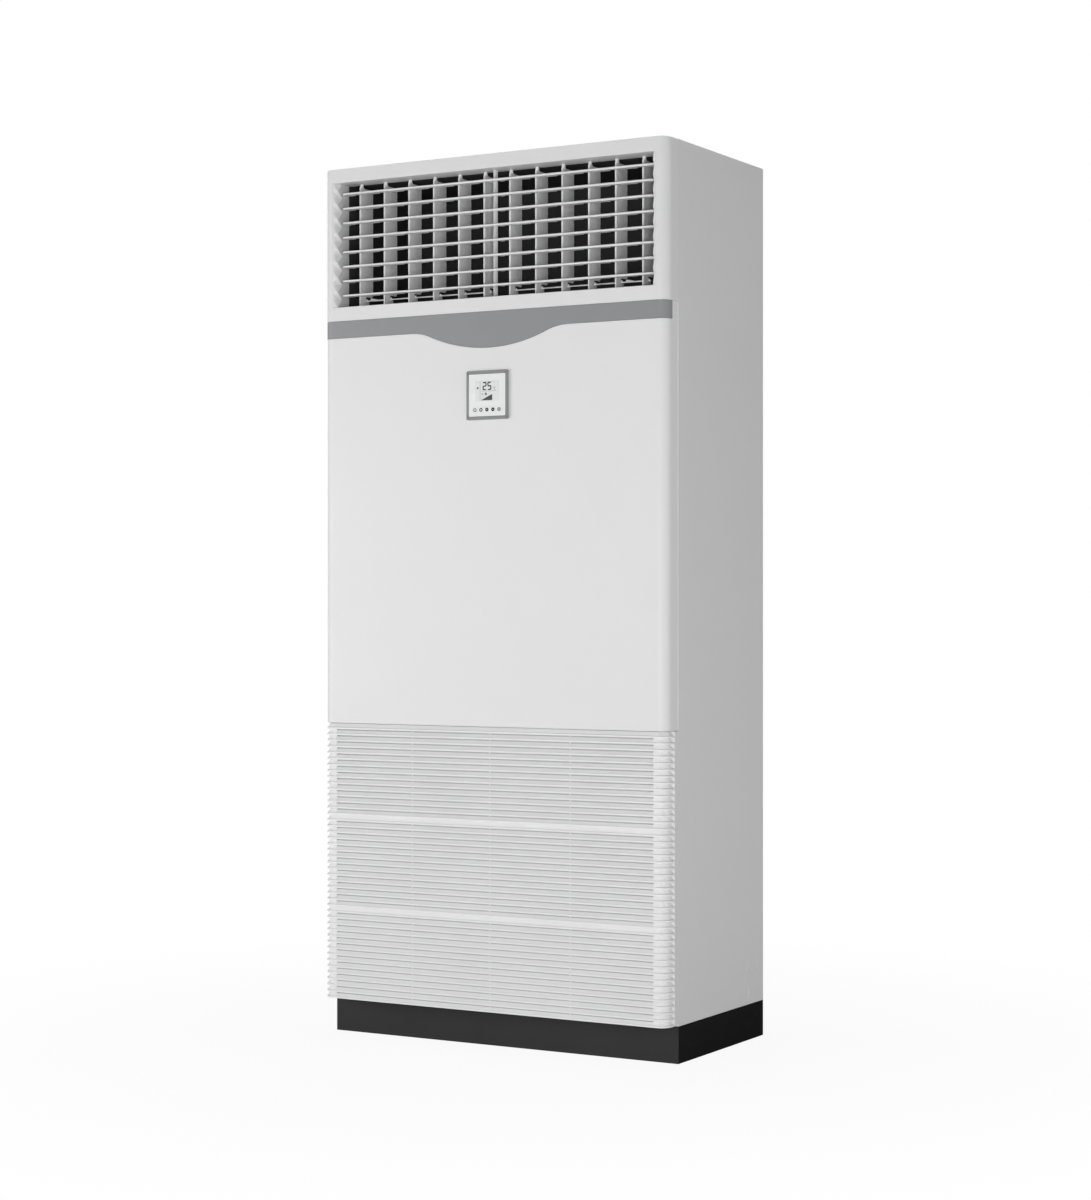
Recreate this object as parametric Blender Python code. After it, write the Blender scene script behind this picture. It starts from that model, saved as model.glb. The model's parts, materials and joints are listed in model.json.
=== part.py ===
# Floor standing air conditioner, indoor cabinet with a double deflection air outlet.
# Metres. X to the right seen from the front, Y to the back, Z up.
# The origin is on the floor, under the middle of the part's outer box.
from math import cos, pi, sin, sqrt

import bmesh
import bpy
from mathutils import Vector

# Overall cabinet
width = 0.827
depth = 0.451
height = 1.850
plinth_height = 0.075
gap = 0.0003                      # what seated pieces keep between them
sheet = 0.0015                    # folded steel panels
skin = 0.0025                     # moulded front pieces

# Front mouldings: how far they wrap round the sides, and their corner
wrap_depth = 0.052
corner_radius = 0.023
corner_steps = 3

# Heights of the front pieces
grille_lift = 0.0029              # grille above the plinth
grille_height = 0.5886
frame_height = 0.3254             # discharge frame
band_height = 0.0366              # trim band at its ends

# The trim band's lower edge dips in the middle
dip_depth = 0.0383
dip_radius = 0.360
dip_fillet = 0.120
dip_steps = 7
band_wrap = 0.026                 # the band ends this far back on each side

# Steel cabinet
flange = 0.018
plinth_sheet = 0.002
plinth_flange = 0.030

# Pressed pipe and cable knockouts, low at the back of each side: (y from the back, z, radius)
knockouts = ((0.088, 0.155, 0.011), (0.038, 0.155, 0.011), (0.088, 0.104, 0.018))
plinth_knockout = (0.078, 0.036, 0.017)
knockout_depth = 0.0006
knockout_sides = 12

# Intake grille: three moulded sections of ribs
section_count = 3
ribs_per_section = 15
rib_depth = 0.0065
rib_wall = 0.002
slot_height = 0.0030
slot_border = 0.0325              # closed strip at each end of a slot
web_width = 0.003
rib_return = 0.036                # ribs end this far back on each side
filter_thickness = 0.006
filter_margin = 0.012

# Air outlet in the discharge frame
frame_side = 0.0248               # frame beside the outlet
frame_border = 0.030              # frame above and below the outlet
outlet_back = 0.300               # depth of the black air box behind the frame

# Moulded side walls of the outlet: each opens out to the front, in a step at every blade
splay = 0.0117
wall_front = 0.012                # depth of the wall's front corner just above a blade
wall_back = 0.039                 # and just below it
step_up = 0.007                   # where the step ends above a blade
step_down = 0.008                 # and begins below it

# Twelve upright vanes in two linked halves
vanes_per_half = 6
vane_margin = 0.0038              # side wall to the first vane's share of the width
vane_front = 0.035
vane_chord = 0.049
vane_pivot = 0.007                # pivot behind the vane's front edge
vane_drop = 0.0080                # plate below the outlet's top
vane_lift = 0.0260                # plate above the outlet's bottom
vane_corner = 0.004
vane_nose = 0.0022                # half thickness behind the rounded front edge
vane_tail = 0.0008
lug_height = 0.0045               # lug round the upper pivot
lug_half = 0.0042
foot_gap = 0.0030
foot_chord = 0.033                # foot with the ledge that carries the link rod
ledge_height = 0.0155             # ledge above the outlet's bottom
heel_chord = 0.019
pivot_radius = 0.0036
pivot_hole = 0.0045
pivot_reach = 0.0020              # how far a pivot enters the frame's wall
pin_sides = 6

# Link rod on the ledges, one for each half
link_pin_radius = 0.0015
link_pin_height = 0.0065
link_hole = 0.0021
link_eye = 0.0045
link_pin_in = 0.0060              # link pin in from the foot's back edge
rod_width = 0.004
rod_thickness = 0.003
eye_rise = 0.0003                 # eyes stand this far above and below the rod
rod_lift = 0.0006                 # rod above the ledges
crank_near = 0.010                # drive crank on the rod, measured from a vane's link pin
crank_flat = 0.014
crank_far = 0.036
crank_height = 0.0035
crank_width = 0.0024
crank_vanes = (0, 4)              # the vane beside the crank, in the left and the right half

# Eight level blades in front of the vanes
blade_count = 8
first_blade = 0.0224              # outlet's top to the top blade
last_blade = 0.0256               # bottom blade to the outlet's bottom
blade_front = 0.012
blade_chord = 0.0275
blade_axis = 0.019                # pivot behind the blade's front edge
blade_nose = 0.0022
blade_tail = 0.0008
nose_length = 0.0015
blade_end_gap = 0.001
blade_corner = 0.0055
blade_pin_radius = 0.0016
blade_pin_length = 0.0042
blade_pin_hole = 0.0022
vane_clearance = 0.0055           # notch bottom to a vane's front edge
notch_half_bottom = 0.009
notch_half_mouth = 0.014

# Upright strip in the middle of the outlet, notched at each blade
strip_half = 0.00175
strip_nose = 0.0006                # half thickness along the strip's straight front edge
strip_clearance = 0.0086
strip_depth = 0.0129
strip_near = 0.0020                # depth of the strip's shoulder just above a blade
strip_far = 0.0080                 # and just below it
blade_web = 0.0025                # what is left of a blade in front of the middle strip

# Control panel
control_drop = 0.1367             # middle of the panel below the trim band
control_width = 0.0991
control_height = 0.1014
control_out = 0.005
bezel_border = 0.0055
bezel_border_high = 0.0071
bezel_bevel = 0.0008
face_drop = 0.0008                # face behind the bezel's front
display_width = 0.056
display_height = 0.042
display_rise = 0.0087             # middle of the display above the panel's
key_count = 5
key_pitch = 0.01445
key_radius = 0.0044
key_drop = 0.0302                 # keys below the panel's middle
keypad_width = 0.068
keypad_height = 0.012
keypad_thickness = 0.0012
key_rise = 0.0006
key_sides = 12

# Planes worked out from the sizes
side_x = width / 2
front_y = -(depth + control_out) / 2 + control_out
back_y = front_y + depth
seam_y = front_y + wrap_depth
grille_bottom = plinth_height + grille_lift
grille_top = grille_bottom + grille_height
band_top = height - frame_height
band_bottom = band_top - band_height
outlet_half = side_x - frame_side - splay
outlet_top = height - frame_border
outlet_bottom = band_top + frame_border
vane_pitch = (outlet_half - vane_margin) / vanes_per_half
vane_top = outlet_top - vane_drop
vane_bottom = outlet_bottom + vane_lift
ledge = outlet_bottom + ledge_height
blade_pitch = (outlet_top - first_blade - last_blade - outlet_bottom) / (blade_count - 1)
slot_reach = side_x - slot_border
web_pitch = slot_reach / 2
control_centre = band_bottom - control_drop
display_centre = control_centre + display_rise
key_height = control_centre - key_drop


def make_material(name, colour, roughness, metallic=0.0):
    material = bpy.data.materials.new(name)
    material.use_nodes = True
    shader = material.node_tree.nodes["Principled BSDF"]
    shader.inputs["Base Color"].default_value = (*colour, 1.0)
    shader.inputs["Roughness"].default_value = roughness
    shader.inputs["Metallic"].default_value = metallic
    return material


def make_materials():
    return {
        "shell": make_material("shell_grey", (0.62, 0.62, 0.63), 0.45),
        "front": make_material("front_white", (0.74, 0.74, 0.75), 0.40),
        "grille": make_material("grille_white", (0.70, 0.70, 0.71), 0.45),
        "trim": make_material("trim_grey", (0.27, 0.28, 0.29), 0.40),
        "plinth": make_material("plinth_black", (0.03, 0.03, 0.03), 0.50),
        "duct": make_material("duct_black", (0.020, 0.020, 0.021), 0.70),
        "louvre": make_material("louvre_grey", (0.66, 0.66, 0.66), 0.45),
        "bezel": make_material("bezel_grey", (0.25, 0.25, 0.26), 0.35),
        "face": make_material("face_white", (0.80, 0.80, 0.80), 0.30),
        "display": make_material("display_glass", (0.69, 0.70, 0.70), 0.15),
        "filter": make_material("filter_mesh", (0.55, 0.55, 0.56), 0.90),
    }


def clear_scene():
    for thing in list(bpy.data.objects):
        bpy.data.objects.remove(thing, do_unlink=True)


def finish(name, shape, material=None, origin=(0.0, 0.0, 0.0)):
    """Turn a bmesh in world places into an object whose origin is at the given point."""
    bmesh.ops.recalc_face_normals(shape, faces=shape.faces)
    bmesh.ops.translate(shape, vec=-Vector(origin), verts=shape.verts)
    mesh = bpy.data.meshes.new(name)
    shape.to_mesh(mesh)
    shape.free()
    thing = bpy.data.objects.new(name, mesh)
    thing.location = origin
    bpy.context.collection.objects.link(thing)
    if material is not None:
        mesh.materials.append(material)
    return thing


def add_box(shape, low, high):
    made = bmesh.ops.create_cube(shape, size=1.0)
    for vertex in made["verts"]:
        vertex.co = Vector([low[i] if vertex.co[i] < 0 else high[i] for i in range(3)])
    return made["verts"]


def box(name, low, high, material=None):
    shape = bmesh.new()
    add_box(shape, low, high)
    return finish(name, shape, material)


def extrude_outline(shape, points, vector):
    """Closed prism from a flat outline given in space."""
    face = shape.faces.new([shape.verts.new(point) for point in points])
    made = bmesh.ops.extrude_face_region(shape, geom=[face])
    moved = [item for item in made["geom"] if isinstance(item, bmesh.types.BMVert)]
    bmesh.ops.translate(shape, vec=vector, verts=moved)


def plan_prism(shape, points, low, high):
    """Prism that stands on a plan outline of (x, y) points."""
    extrude_outline(shape, [(x, y, low) for x, y in points], (0, 0, high - low))


def side_prism(shape, points, low, high):
    """Prism along X with an outline of (y, z) points."""
    extrude_outline(shape, [(low, y, z) for y, z in points], (high - low, 0, 0))


def ring_points(radius, count):
    return [(radius * cos(2 * pi * (i + 0.5) / count), radius * sin(2 * pi * (i + 0.5) / count))
            for i in range(count)]


def add_pin(shape, axis, centre, radius, low, high, count=pin_sides):
    """Round bar along X, Y or Z between two places on that axis."""
    ring = ring_points(radius, count)
    length = high - low
    if axis == "X":
        extrude_outline(shape, [(low, centre[0] + a, centre[1] + b) for a, b in ring], (length, 0, 0))
    elif axis == "Y":
        extrude_outline(shape, [(centre[0] + a, low, centre[1] + b) for a, b in ring], (0, length, 0))
    else:
        extrude_outline(shape, [(centre[0] + a, centre[1] + b, low) for a, b in ring], (0, 0, length))


def hide_cutter(cutter):
    cutter.hide_render = True
    cutter.display_type = "WIRE"
    return cutter


def use_boolean(thing, tool, operation="DIFFERENCE"):
    hide_cutter(tool)
    modifier = thing.modifiers.new(tool.name, "BOOLEAN")
    modifier.operation = operation
    modifier.solver = "EXACT"
    modifier.object = tool


def make_cutter(name, build):
    shape = bmesh.new()
    build(shape)
    return finish(name, shape)


def front_corner(side, inset):
    """Corner arc from the side to the front, as (x, y) points, set in from the outer surface."""
    radius = corner_radius - inset
    centre = (side * (side_x - corner_radius), front_y + corner_radius)
    points = []
    for i in range(corner_steps + 1):
        angle = i / corner_steps * pi / 2
        points.append((centre[0] + side * radius * cos(angle), centre[1] - radius * sin(angle)))
    return points


def front_block(shape, inset, back, low, high):
    """Solid block behind the rounded front, set in from the outer surface all round."""
    right = front_corner(1, inset)
    left = front_corner(-1, inset)
    points = [(side_x - inset, back)] + right + left[::-1] + [(-side_x + inset, back)]
    plan_prism(shape, points, low, high)


# Steel cabinet and plinth

def build_plinth(materials):
    for name, outer, inner, mouth in (("plinth_front", seam_y, 1, "+Y"), ("plinth_rear", back_y, -1, "-Y")):
        ends = sorted((outer, outer + inner * plinth_flange))
        shape = bmesh.new()
        tray(shape, (-side_x, ends[0], 0), (side_x, ends[1], plinth_height), plinth_sheet, mouth)
        finish(name, shape, materials["plinth"])
    start = seam_y + plinth_flange + gap
    end = back_y - plinth_flange - gap
    for name, side in (("plinth_left", -1), ("plinth_right", 1)):
        outer = side * side_x
        web = outer - side * plinth_sheet
        lip = outer - side * plinth_flange
        outline = [(outer, 0), (lip, 0), (lip, plinth_sheet), (web, plinth_sheet),
                   (web, plinth_height - plinth_sheet), (lip, plinth_height - plinth_sheet),
                   (lip, plinth_height), (outer, plinth_height)]
        shape = bmesh.new()
        extrude_outline(shape, [(x, start, z) for x, z in outline], (0, end - start, 0))
        thing = finish(name, shape, materials["plinth"])
        use_boolean(thing, knockout_cutter(name, side, [plinth_knockout]))


def knockout_cutter(name, side, discs):
    shape = bmesh.new()
    for from_back, high, radius in discs:
        ends = sorted((side * (side_x - knockout_depth), side * (side_x + sheet)))
        add_pin(shape, "X", (back_y - from_back, high), radius, ends[0], ends[1], knockout_sides)
    return finish(name + "_knockout_cutter", shape)


def build_cabinet(materials):
    floor_z = plinth_height + gap
    rear = back_y - sheet - gap
    for name, side in (("side_panel_left", -1), ("side_panel_right", 1)):
        outer = side * side_x
        inner = outer - side * sheet
        lip = outer - side * flange
        points = [(outer, seam_y), (outer, rear), (lip, rear), (lip, rear - sheet), (inner, rear - sheet),
                  (inner, seam_y + sheet), (lip, seam_y + sheet), (lip, seam_y)]
        shape = bmesh.new()
        plan_prism(shape, points, floor_z, height)
        thing = finish(name, shape, materials["shell"])
        use_boolean(thing, knockout_cutter(name, side, knockouts))
    box("back_panel", (-side_x, back_y - sheet, floor_z), (side_x, back_y, height), materials["shell"])
    inside = side_x - sheet - gap
    top = bmesh.new()
    tray(top, (-inside, seam_y + sheet + gap, height - flange), (inside, rear - sheet - gap, height), sheet, "-Z")
    finish("top_panel", top, materials["shell"])
    box("base_pan", (-inside, seam_y + sheet + gap, floor_z), (inside, rear - sheet - gap, floor_z + sheet),
        materials["shell"])


def tray(shape, low, high, wall, mouth):
    """Box with one open side: its mouth face is set in by the wall and pushed back."""
    verts = add_box(shape, low, high)
    directions = {"-Z": Vector((0, 0, -1)), "-Y": Vector((0, -1, 0)), "+Y": Vector((0, 1, 0))}
    normal = directions[mouth]
    faces = {face for vertex in verts for face in vertex.link_faces}
    bmesh.ops.recalc_face_normals(shape, faces=list(faces))
    face = max(faces, key=lambda item: item.normal.dot(normal))
    bmesh.ops.inset_individual(shape, faces=[face], thickness=wall, use_even_offset=True)
    reach = abs(normal.dot(Vector(high) - Vector(low))) - wall
    made = bmesh.ops.extrude_discrete_faces(shape, faces=[face])
    bmesh.ops.translate(shape, vec=-normal * reach, verts=made["faces"][0].verts)


# Front panel and trim band

def band_edge(x):
    """Height of the band's lower edge: level, a fillet, and a wide arc in the middle."""
    arc_z = band_bottom - dip_depth + dip_radius
    fillet_z = band_bottom - dip_fillet
    fillet_x = sqrt((dip_radius + dip_fillet) ** 2 - (arc_z - fillet_z) ** 2)
    meet = fillet_x * dip_radius / (dip_radius + dip_fillet)
    reach = abs(x)
    if reach <= meet:
        return arc_z - sqrt(dip_radius ** 2 - reach ** 2)
    if reach < fillet_x:
        return fillet_z + sqrt(dip_fillet ** 2 - (fillet_x - reach) ** 2)
    return band_bottom


def band_stations():
    """Places along X where the band's edge bends."""
    arc_z = band_bottom - dip_depth + dip_radius
    fillet_z = band_bottom - dip_fillet
    fillet_x = sqrt((dip_radius + dip_fillet) ** 2 - (arc_z - fillet_z) ** 2)
    meet = fillet_x * dip_radius / (dip_radius + dip_fillet)
    arc = [meet * i / dip_steps for i in range(dip_steps + 1)]
    fillet = [meet + (fillet_x - meet) * i / 3 for i in (1, 2, 3)]
    half = arc[1:] + fillet
    return [-x for x in half[::-1]] + [0.0] + half


def strip_skin(shape, columns):
    """Upright strips between neighbouring columns of (x, y, low, high)."""
    pairs = [(shape.verts.new((x, y, low)), shape.verts.new((x, y, high))) for x, y, low, high in columns]
    for a, b in zip(pairs, pairs[1:]):
        shape.faces.new((a[0], b[0], b[1], a[1]))
    return pairs


def thicken(thing, thickness):
    modifier = thing.modifiers.new("wall", "SOLIDIFY")
    modifier.thickness = thickness
    modifier.offset = -1.0
    modifier.use_even_offset = True


def build_front_panel(materials):
    low = grille_top + gap
    right = front_corner(1, 0)
    left = front_corner(-1, 0)[::-1]
    middle = [(x, front_y) for x in reversed(band_stations())]
    path = right + middle + left
    columns = [(x, y, low, band_edge(x) - gap) for x, y in path]
    shape = bmesh.new()
    pairs = strip_skin(shape, columns[::-1])
    wrap_y = front_y + band_wrap + gap
    for side, pair in ((-1, pairs[0]), (1, pairs[-1])):
        outer = side * side_x
        near = [shape.verts.new((outer, wrap_y, z)) for z in (low, band_bottom - gap, band_top)]
        far = [shape.verts.new((outer, seam_y - gap, z)) for z in (low, band_bottom - gap, band_top)]
        corner = list(pair)
        quads = [(corner[0], near[0], near[1], corner[1]), (near[0], far[0], far[1], near[1]),
                 (near[1], far[1], far[2], near[2])]
        for quad in quads:
            shape.faces.new(quad if side > 0 else quad[::-1])
    thing = finish_open("front_panel", shape, materials["front"])
    thicken(thing, skin)


def finish_open(name, shape, material):
    """Like finish, for a sheet that a modifier thickens: its faces are turned outwards."""
    bmesh.ops.recalc_face_normals(shape, faces=shape.faces)
    front = min(shape.faces, key=lambda face: face.calc_center_median().y)
    if front.normal.y > 0:
        bmesh.ops.reverse_faces(shape, faces=shape.faces)
    mesh = bpy.data.meshes.new(name)
    shape.to_mesh(mesh)
    shape.free()
    thing = bpy.data.objects.new(name, mesh)
    bpy.context.collection.objects.link(thing)
    mesh.materials.append(material)
    return thing


def build_trim_band(materials):
    right = [(side_x, front_y + band_wrap)] + front_corner(1, 0)
    left = [(-side_x, front_y + band_wrap)] + front_corner(-1, 0)
    middle = [(x, front_y) for x in reversed(band_stations())]
    path = right + middle + left[::-1]
    shape = bmesh.new()
    strip_skin(shape, [(x, y, band_edge(x), band_top) for x, y in path][::-1])
    thing = finish_open("trim_band", shape, materials["trim"])
    thicken(thing, skin)


# Intake grille

def grille_columns():
    """Places along the wrap, right to left: a function of the inset for each column."""
    def on_side(side, y):
        return lambda inset: (side * (side_x - inset), y)

    def on_corner(side, step):
        return lambda inset: front_corner(side, inset)[step]

    def on_front(x):
        return lambda inset: (x, front_y + inset)

    edges = [slot_reach]
    for web in (1, 0):
        edges += [web * web_pitch + web_width / 2, web * web_pitch - web_width / 2]
    edges = edges[:-1]
    bays = edges + [-x for x in edges[::-1]]
    right = [on_side(1, front_y + rib_return - rib_depth)] + [on_corner(1, i) for i in range(corner_steps + 1)]
    left = [on_side(-1, front_y + rib_return - rib_depth)] + [on_corner(-1, i) for i in range(corner_steps + 1)]
    return right, [on_front(x) for x in bays], left[::-1]


def build_grille_section(name, top, low, material):
    pitch = (top - low) / ribs_per_section
    back_inset = rib_depth + rib_wall
    right, bays, left = grille_columns()
    shape = bmesh.new()

    def row(columns, inset, z):
        return [shape.verts.new((*column(inset), z)) for column in columns]

    count = len(right)
    levels = [top - i * pitch for i in range(ribs_per_section + 1)]
    plain = {side: [shape.verts.new((side * side_x, front_y + rib_return, z)) for z in levels]
             for side in (1, -1)}
    roots, slots, tips = [], [], []
    for i in range(ribs_per_section):
        roots.append(row(right + bays + left, rib_depth, levels[i]))
        slots.append(row(right + bays + left, rib_depth, levels[i] - slot_height))
        tips.append(row(right + left, 0.0, levels[i + 1]))

    # Inner surface: tall strips round the corners, lands and webs between the slots
    inner_path = right[1:] + bays + left[:-1]
    rims = [top] + [z for i in range(1, ribs_per_section) for z in (levels[i], levels[i] - slot_height)] + [low]
    inner = {}
    first_bay = count - 1
    for j, column in enumerate(inner_path):
        in_bay = first_bay <= j < first_bay + len(bays)
        heights = rims if in_bay else [top, low]
        inner[j] = [shape.verts.new((*column(back_inset), z)) for z in heights]
    ends = {side: [shape.verts.new((side * (side_x - back_inset), seam_y - gap, z)) for z in (top, low)]
            for side in (1, -1)}
    seams = {side: [shape.verts.new((side * side_x, seam_y - gap, z)) for z in (top, low)] for side in (1, -1)}

    def is_slot(j):
        """Strip j of the bays, counted from the right, is open when its number is even."""
        return 0 <= j < len(bays) - 1 and j % 2 == 0

    for i in range(ribs_per_section):
        root, slot, tip = roots[i], slots[i], tips[i]
        # Root strips, open at the slots
        for j in range(len(root) - 1):
            if i > 0 and is_slot(j - count):
                continue
            shape.faces.new((root[j], root[j + 1], slot[j + 1], slot[j]))
        # Slopes out to the lip
        for j in range(count - 1):
            shape.faces.new((slot[j], slot[j + 1], tip[j + 1], tip[j]))
            k = count + len(bays) + j
            shape.faces.new((slot[k], slot[k + 1], tip[count + j + 1], tip[count + j]))
        shape.faces.new(slot[count - 1:count + len(bays) + 1] + [tip[count], tip[count - 1]])
        # Undersides of the lips
        if i + 1 < ribs_per_section:
            under = roots[i + 1]
            for j in range(count - 1):
                shape.faces.new((tip[j], tip[j + 1], under[j + 1], under[j]))
                k = count + len(bays) + j
                shape.faces.new((tip[count + j], tip[count + j + 1], under[k + 1], under[k]))
            shape.faces.new([tip[count - 1], tip[count]] + under[count - 1:count + len(bays) + 1][::-1])
        # Mitred ends
        for side, at, tip_at in ((1, 0, 0), (-1, -1, -1)):
            flat = plain[side]
            shape.faces.new((root[at], slot[at], flat[i]))
            shape.faces.new((flat[i], slot[at], tip[tip_at]))
            shape.faces.new((flat[i], tip[tip_at], flat[i + 1]))
            if i + 1 < ribs_per_section:
                shape.faces.new((tip[tip_at], roots[i + 1][at], flat[i + 1]))

    # Plain returns, rear edges and the inner strips
    last = len(inner_path) - 1
    for side, j in ((1, 0), (-1, last)):
        shape.faces.new(plain[side] + [seams[side][1], seams[side][0]])
        shape.faces.new((seams[side][0], seams[side][1], ends[side][1], ends[side][0]))
        shape.faces.new((ends[side][0], ends[side][1], inner[j][-1], inner[j][0]))
    for j in range(last):
        in_slot = is_slot(j - first_bay)
        a, b = inner[j], inner[j + 1]
        if in_slot:
            for k in range(0, len(rims), 2):
                shape.faces.new((a[k], b[k], b[k + 1], a[k + 1]))
        else:
            shape.faces.new(a + b[::-1])
    # Slot walls
    for i in range(1, ribs_per_section):
        rim = 2 * i - 1
        for j in range(0, len(bays) - 1, 2):
            a, b = inner[first_bay + j], inner[first_bay + j + 1]
            outer = ((roots[i][count + j], roots[i][count + j + 1]),
                     (slots[i][count + j], slots[i][count + j + 1]))
            shape.faces.new((outer[0][0], outer[0][1], b[rim], a[rim]))
            shape.faces.new((outer[1][0], outer[1][1], b[rim + 1], a[rim + 1]))
            shape.faces.new((outer[0][0], outer[1][0], a[rim + 1], a[rim]))
            shape.faces.new((outer[0][1], outer[1][1], b[rim + 1], b[rim]))
    # Top and bottom edges
    for level, outline in ((0, roots[0]), (-1, tips[-1])):
        outer = [seams[1][level], plain[1][level]] + outline + [plain[-1][level], seams[-1][level]]
        back = [ends[1][level]] + [inner[j][level] for j in range(last + 1)] + [ends[-1][level]]
        shape.faces.new(outer + back[::-1])
    finish(name, shape, material)


def build_grille(materials):
    section = (grille_top - grille_bottom) / section_count
    for i, name in enumerate(("intake_grille_upper", "intake_grille_middle", "intake_grille_lower")):
        top = grille_top - i * section
        build_grille_section(name, top, top - section + (gap if i < section_count - 1 else 0),
                             materials["grille"])
    front = front_y + rib_depth + rib_wall + gap
    reach = side_x - corner_radius - filter_margin / 2
    box("air_filter", (-reach, front, grille_bottom + filter_margin),
        (reach, front + filter_thickness, grille_top - filter_margin), materials["filter"])


# Discharge frame, air box, side walls and middle strip

def vane_places():
    total = 2 * vanes_per_half
    return [(i - (total - 1) / 2) * vane_pitch for i in range(total)]


def build_discharge_frame(materials):
    low = band_top + gap
    back = seam_y - gap
    shape = bmesh.new()
    front_block(shape, 0, back, low, height)
    frame = finish("discharge_frame", shape, materials["front"])
    past = back + skin
    mouth = outlet_half + splay + gap

    def outlet(tool):
        add_box(tool, (-mouth, front_y - skin, outlet_bottom), (mouth, past, outlet_top))

    def side_pocket(side):
        def build(tool):
            collar = mouth + skin
            corner = [point for point in front_corner(side, skin) if abs(point[0]) > collar]
            after = front_corner(side, skin)[len(corner):]
            y = front_y + skin
            if after:
                (xa, ya), (xb, yb) = corner[-1], after[0]
                y = ya + (yb - ya) * (abs(xa) - collar) / (abs(xa) - abs(xb))
            points = [(side * (side_x - skin), past)] + corner + [(side * collar, y), (side * collar, past)]
            plan_prism(tool, points, low + skin, height - skin)
        return build

    def level_pocket(bottom, top):
        def build(tool):
            half = mouth + 2 * skin
            add_box(tool, (-half, front_y + skin, bottom), (half, past, top))
        return build

    def pivots(tool):
        y = front_y + vane_front + vane_pivot
        for x in vane_places():
            add_pin(tool, "Z", (x, y), pivot_hole, outlet_top - skin, outlet_top + 2 * skin)
            add_pin(tool, "Z", (x, y), pivot_hole, outlet_bottom - 2 * skin, outlet_bottom + skin)

    use_boolean(frame, make_cutter("pocket_right_cutter", side_pocket(1)))
    use_boolean(frame, make_cutter("pocket_left_cutter", side_pocket(-1)))
    use_boolean(frame, make_cutter("pocket_top_cutter", level_pocket(outlet_top + skin, height - skin)))
    use_boolean(frame, make_cutter("pocket_bottom_cutter", level_pocket(low + skin, outlet_bottom - skin)))
    use_boolean(frame, make_cutter("outlet_cutter", outlet))
    use_boolean(frame, make_cutter("pivot_cutter", pivots))


def build_air_box(materials):
    half = outlet_half + skin
    shape = bmesh.new()
    tray(shape, (-half, seam_y, outlet_bottom - skin), (half, front_y + outlet_back, outlet_top + skin), skin, "-Y")
    finish("air_box", shape, materials["duct"])


def blade_heights():
    return [outlet_top - first_blade - i * blade_pitch for i in range(blade_count)]


def step_levels(shallow, deep):
    """The stepped edge from the bottom up, as (height, depth): deep below a blade, shallow above it.

    From one blade's shallow corner the edge runs straight back up to the next blade's deep one."""
    low, high = outlet_bottom + gap, outlet_top - gap
    run = blade_pitch - step_up - step_down

    def on_ramp(z, foot):
        return shallow + (deep - shallow) * (z - foot) / run

    below = blade_heights()[-1] - blade_pitch + step_up
    levels = [(low, on_ramp(low, below) if low > below else shallow)]
    if below > low:
        levels.append((below, shallow))
    for z in reversed(blade_heights()):
        levels += [(z - step_down, deep), (z + step_up, shallow)]
    levels.append((high, on_ramp(high, levels[-1][0])))
    return levels


def build_side_walls(materials):
    """The outlet's moulded side walls, which hold the blades' pins."""
    back = seam_y - gap
    axis_y = front_y + blade_front + blade_axis
    for name, side in (("blade_holder_left", -1), ("blade_holder_right", 1)):
        inner = side * outlet_half
        outer = side * (outlet_half + splay)
        shape = bmesh.new()
        rows = []
        for z, reach in step_levels(wall_front, wall_back):
            places = ((outer, front_y), (inner, front_y + reach), (inner, back), (outer, back))
            rows.append([shape.verts.new((x, y, z)) for x, y in places])
        for a, b in zip(rows, rows[1:]):
            shape.faces.new((a[0], a[1], b[0]))
            shape.faces.new((a[1], b[1], b[0]))
        ends = (rows[0], rows[-1])
        shape.faces.new([row[1] for row in rows] + [ends[1][2], ends[0][2]])
        shape.faces.new((ends[0][2], ends[1][2], ends[1][3], ends[0][3]))
        shape.faces.new([row[0] for row in rows] + [ends[1][3], ends[0][3]])
        shape.faces.new(ends[0])
        shape.faces.new(ends[1])
        for row in rows[1:-1]:
            for vertex in row[2:]:
                shape.verts.remove(vertex)
        wall = finish(name, shape, materials["front"])

        def holes(tool):
            near, far = sorted((inner - side * skin, inner + side * (blade_pin_length + skin)))
            for z in blade_heights():
                add_pin(tool, "X", (axis_y, z), blade_pin_hole, near, far)

        use_boolean(wall, make_cutter(name + "_cutter", holes))


def build_centre_strip(materials):
    """Middle strip of the outlet: a straight front edge that widens to a stepped shoulder."""
    front = front_y + blade_front + blade_web + strip_clearance
    back = front + strip_depth
    shape = bmesh.new()
    rows = []
    for z, reach in step_levels(strip_near, strip_far):
        places = ((-strip_nose, front), (strip_nose, front), (strip_half, front + reach), (-strip_half, front + reach))
        rows.append([shape.verts.new((x, y, z)) for x, y in places])
    first, last = rows[0], rows[-1]
    corners = [[shape.verts.new((x, back, row[0].co.z)) for x in (strip_half, -strip_half)] for row in (first, last)]
    for a, b in zip(rows, rows[1:]):
        for near, far in ((1, 2), (0, 3)):
            shape.faces.new((a[near], a[far], b[near]))
            shape.faces.new((a[far], b[far], b[near]))
    shape.faces.new([row[0] for row in rows] + [row[1] for row in rows[::-1]])
    shape.faces.new([row[2] for row in rows] + [corners[1][0], corners[0][0]])
    shape.faces.new([row[3] for row in rows] + [corners[1][1], corners[0][1]])
    shape.faces.new((corners[0][0], corners[0][1], corners[1][1], corners[1][0]))
    for row, end in zip((first, last), corners):
        shape.faces.new((row[0], row[1], row[2], end[0], end[1], row[3]))
    finish("centre_strip", shape, materials["front"])


# Vanes, link rods and blades

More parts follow.
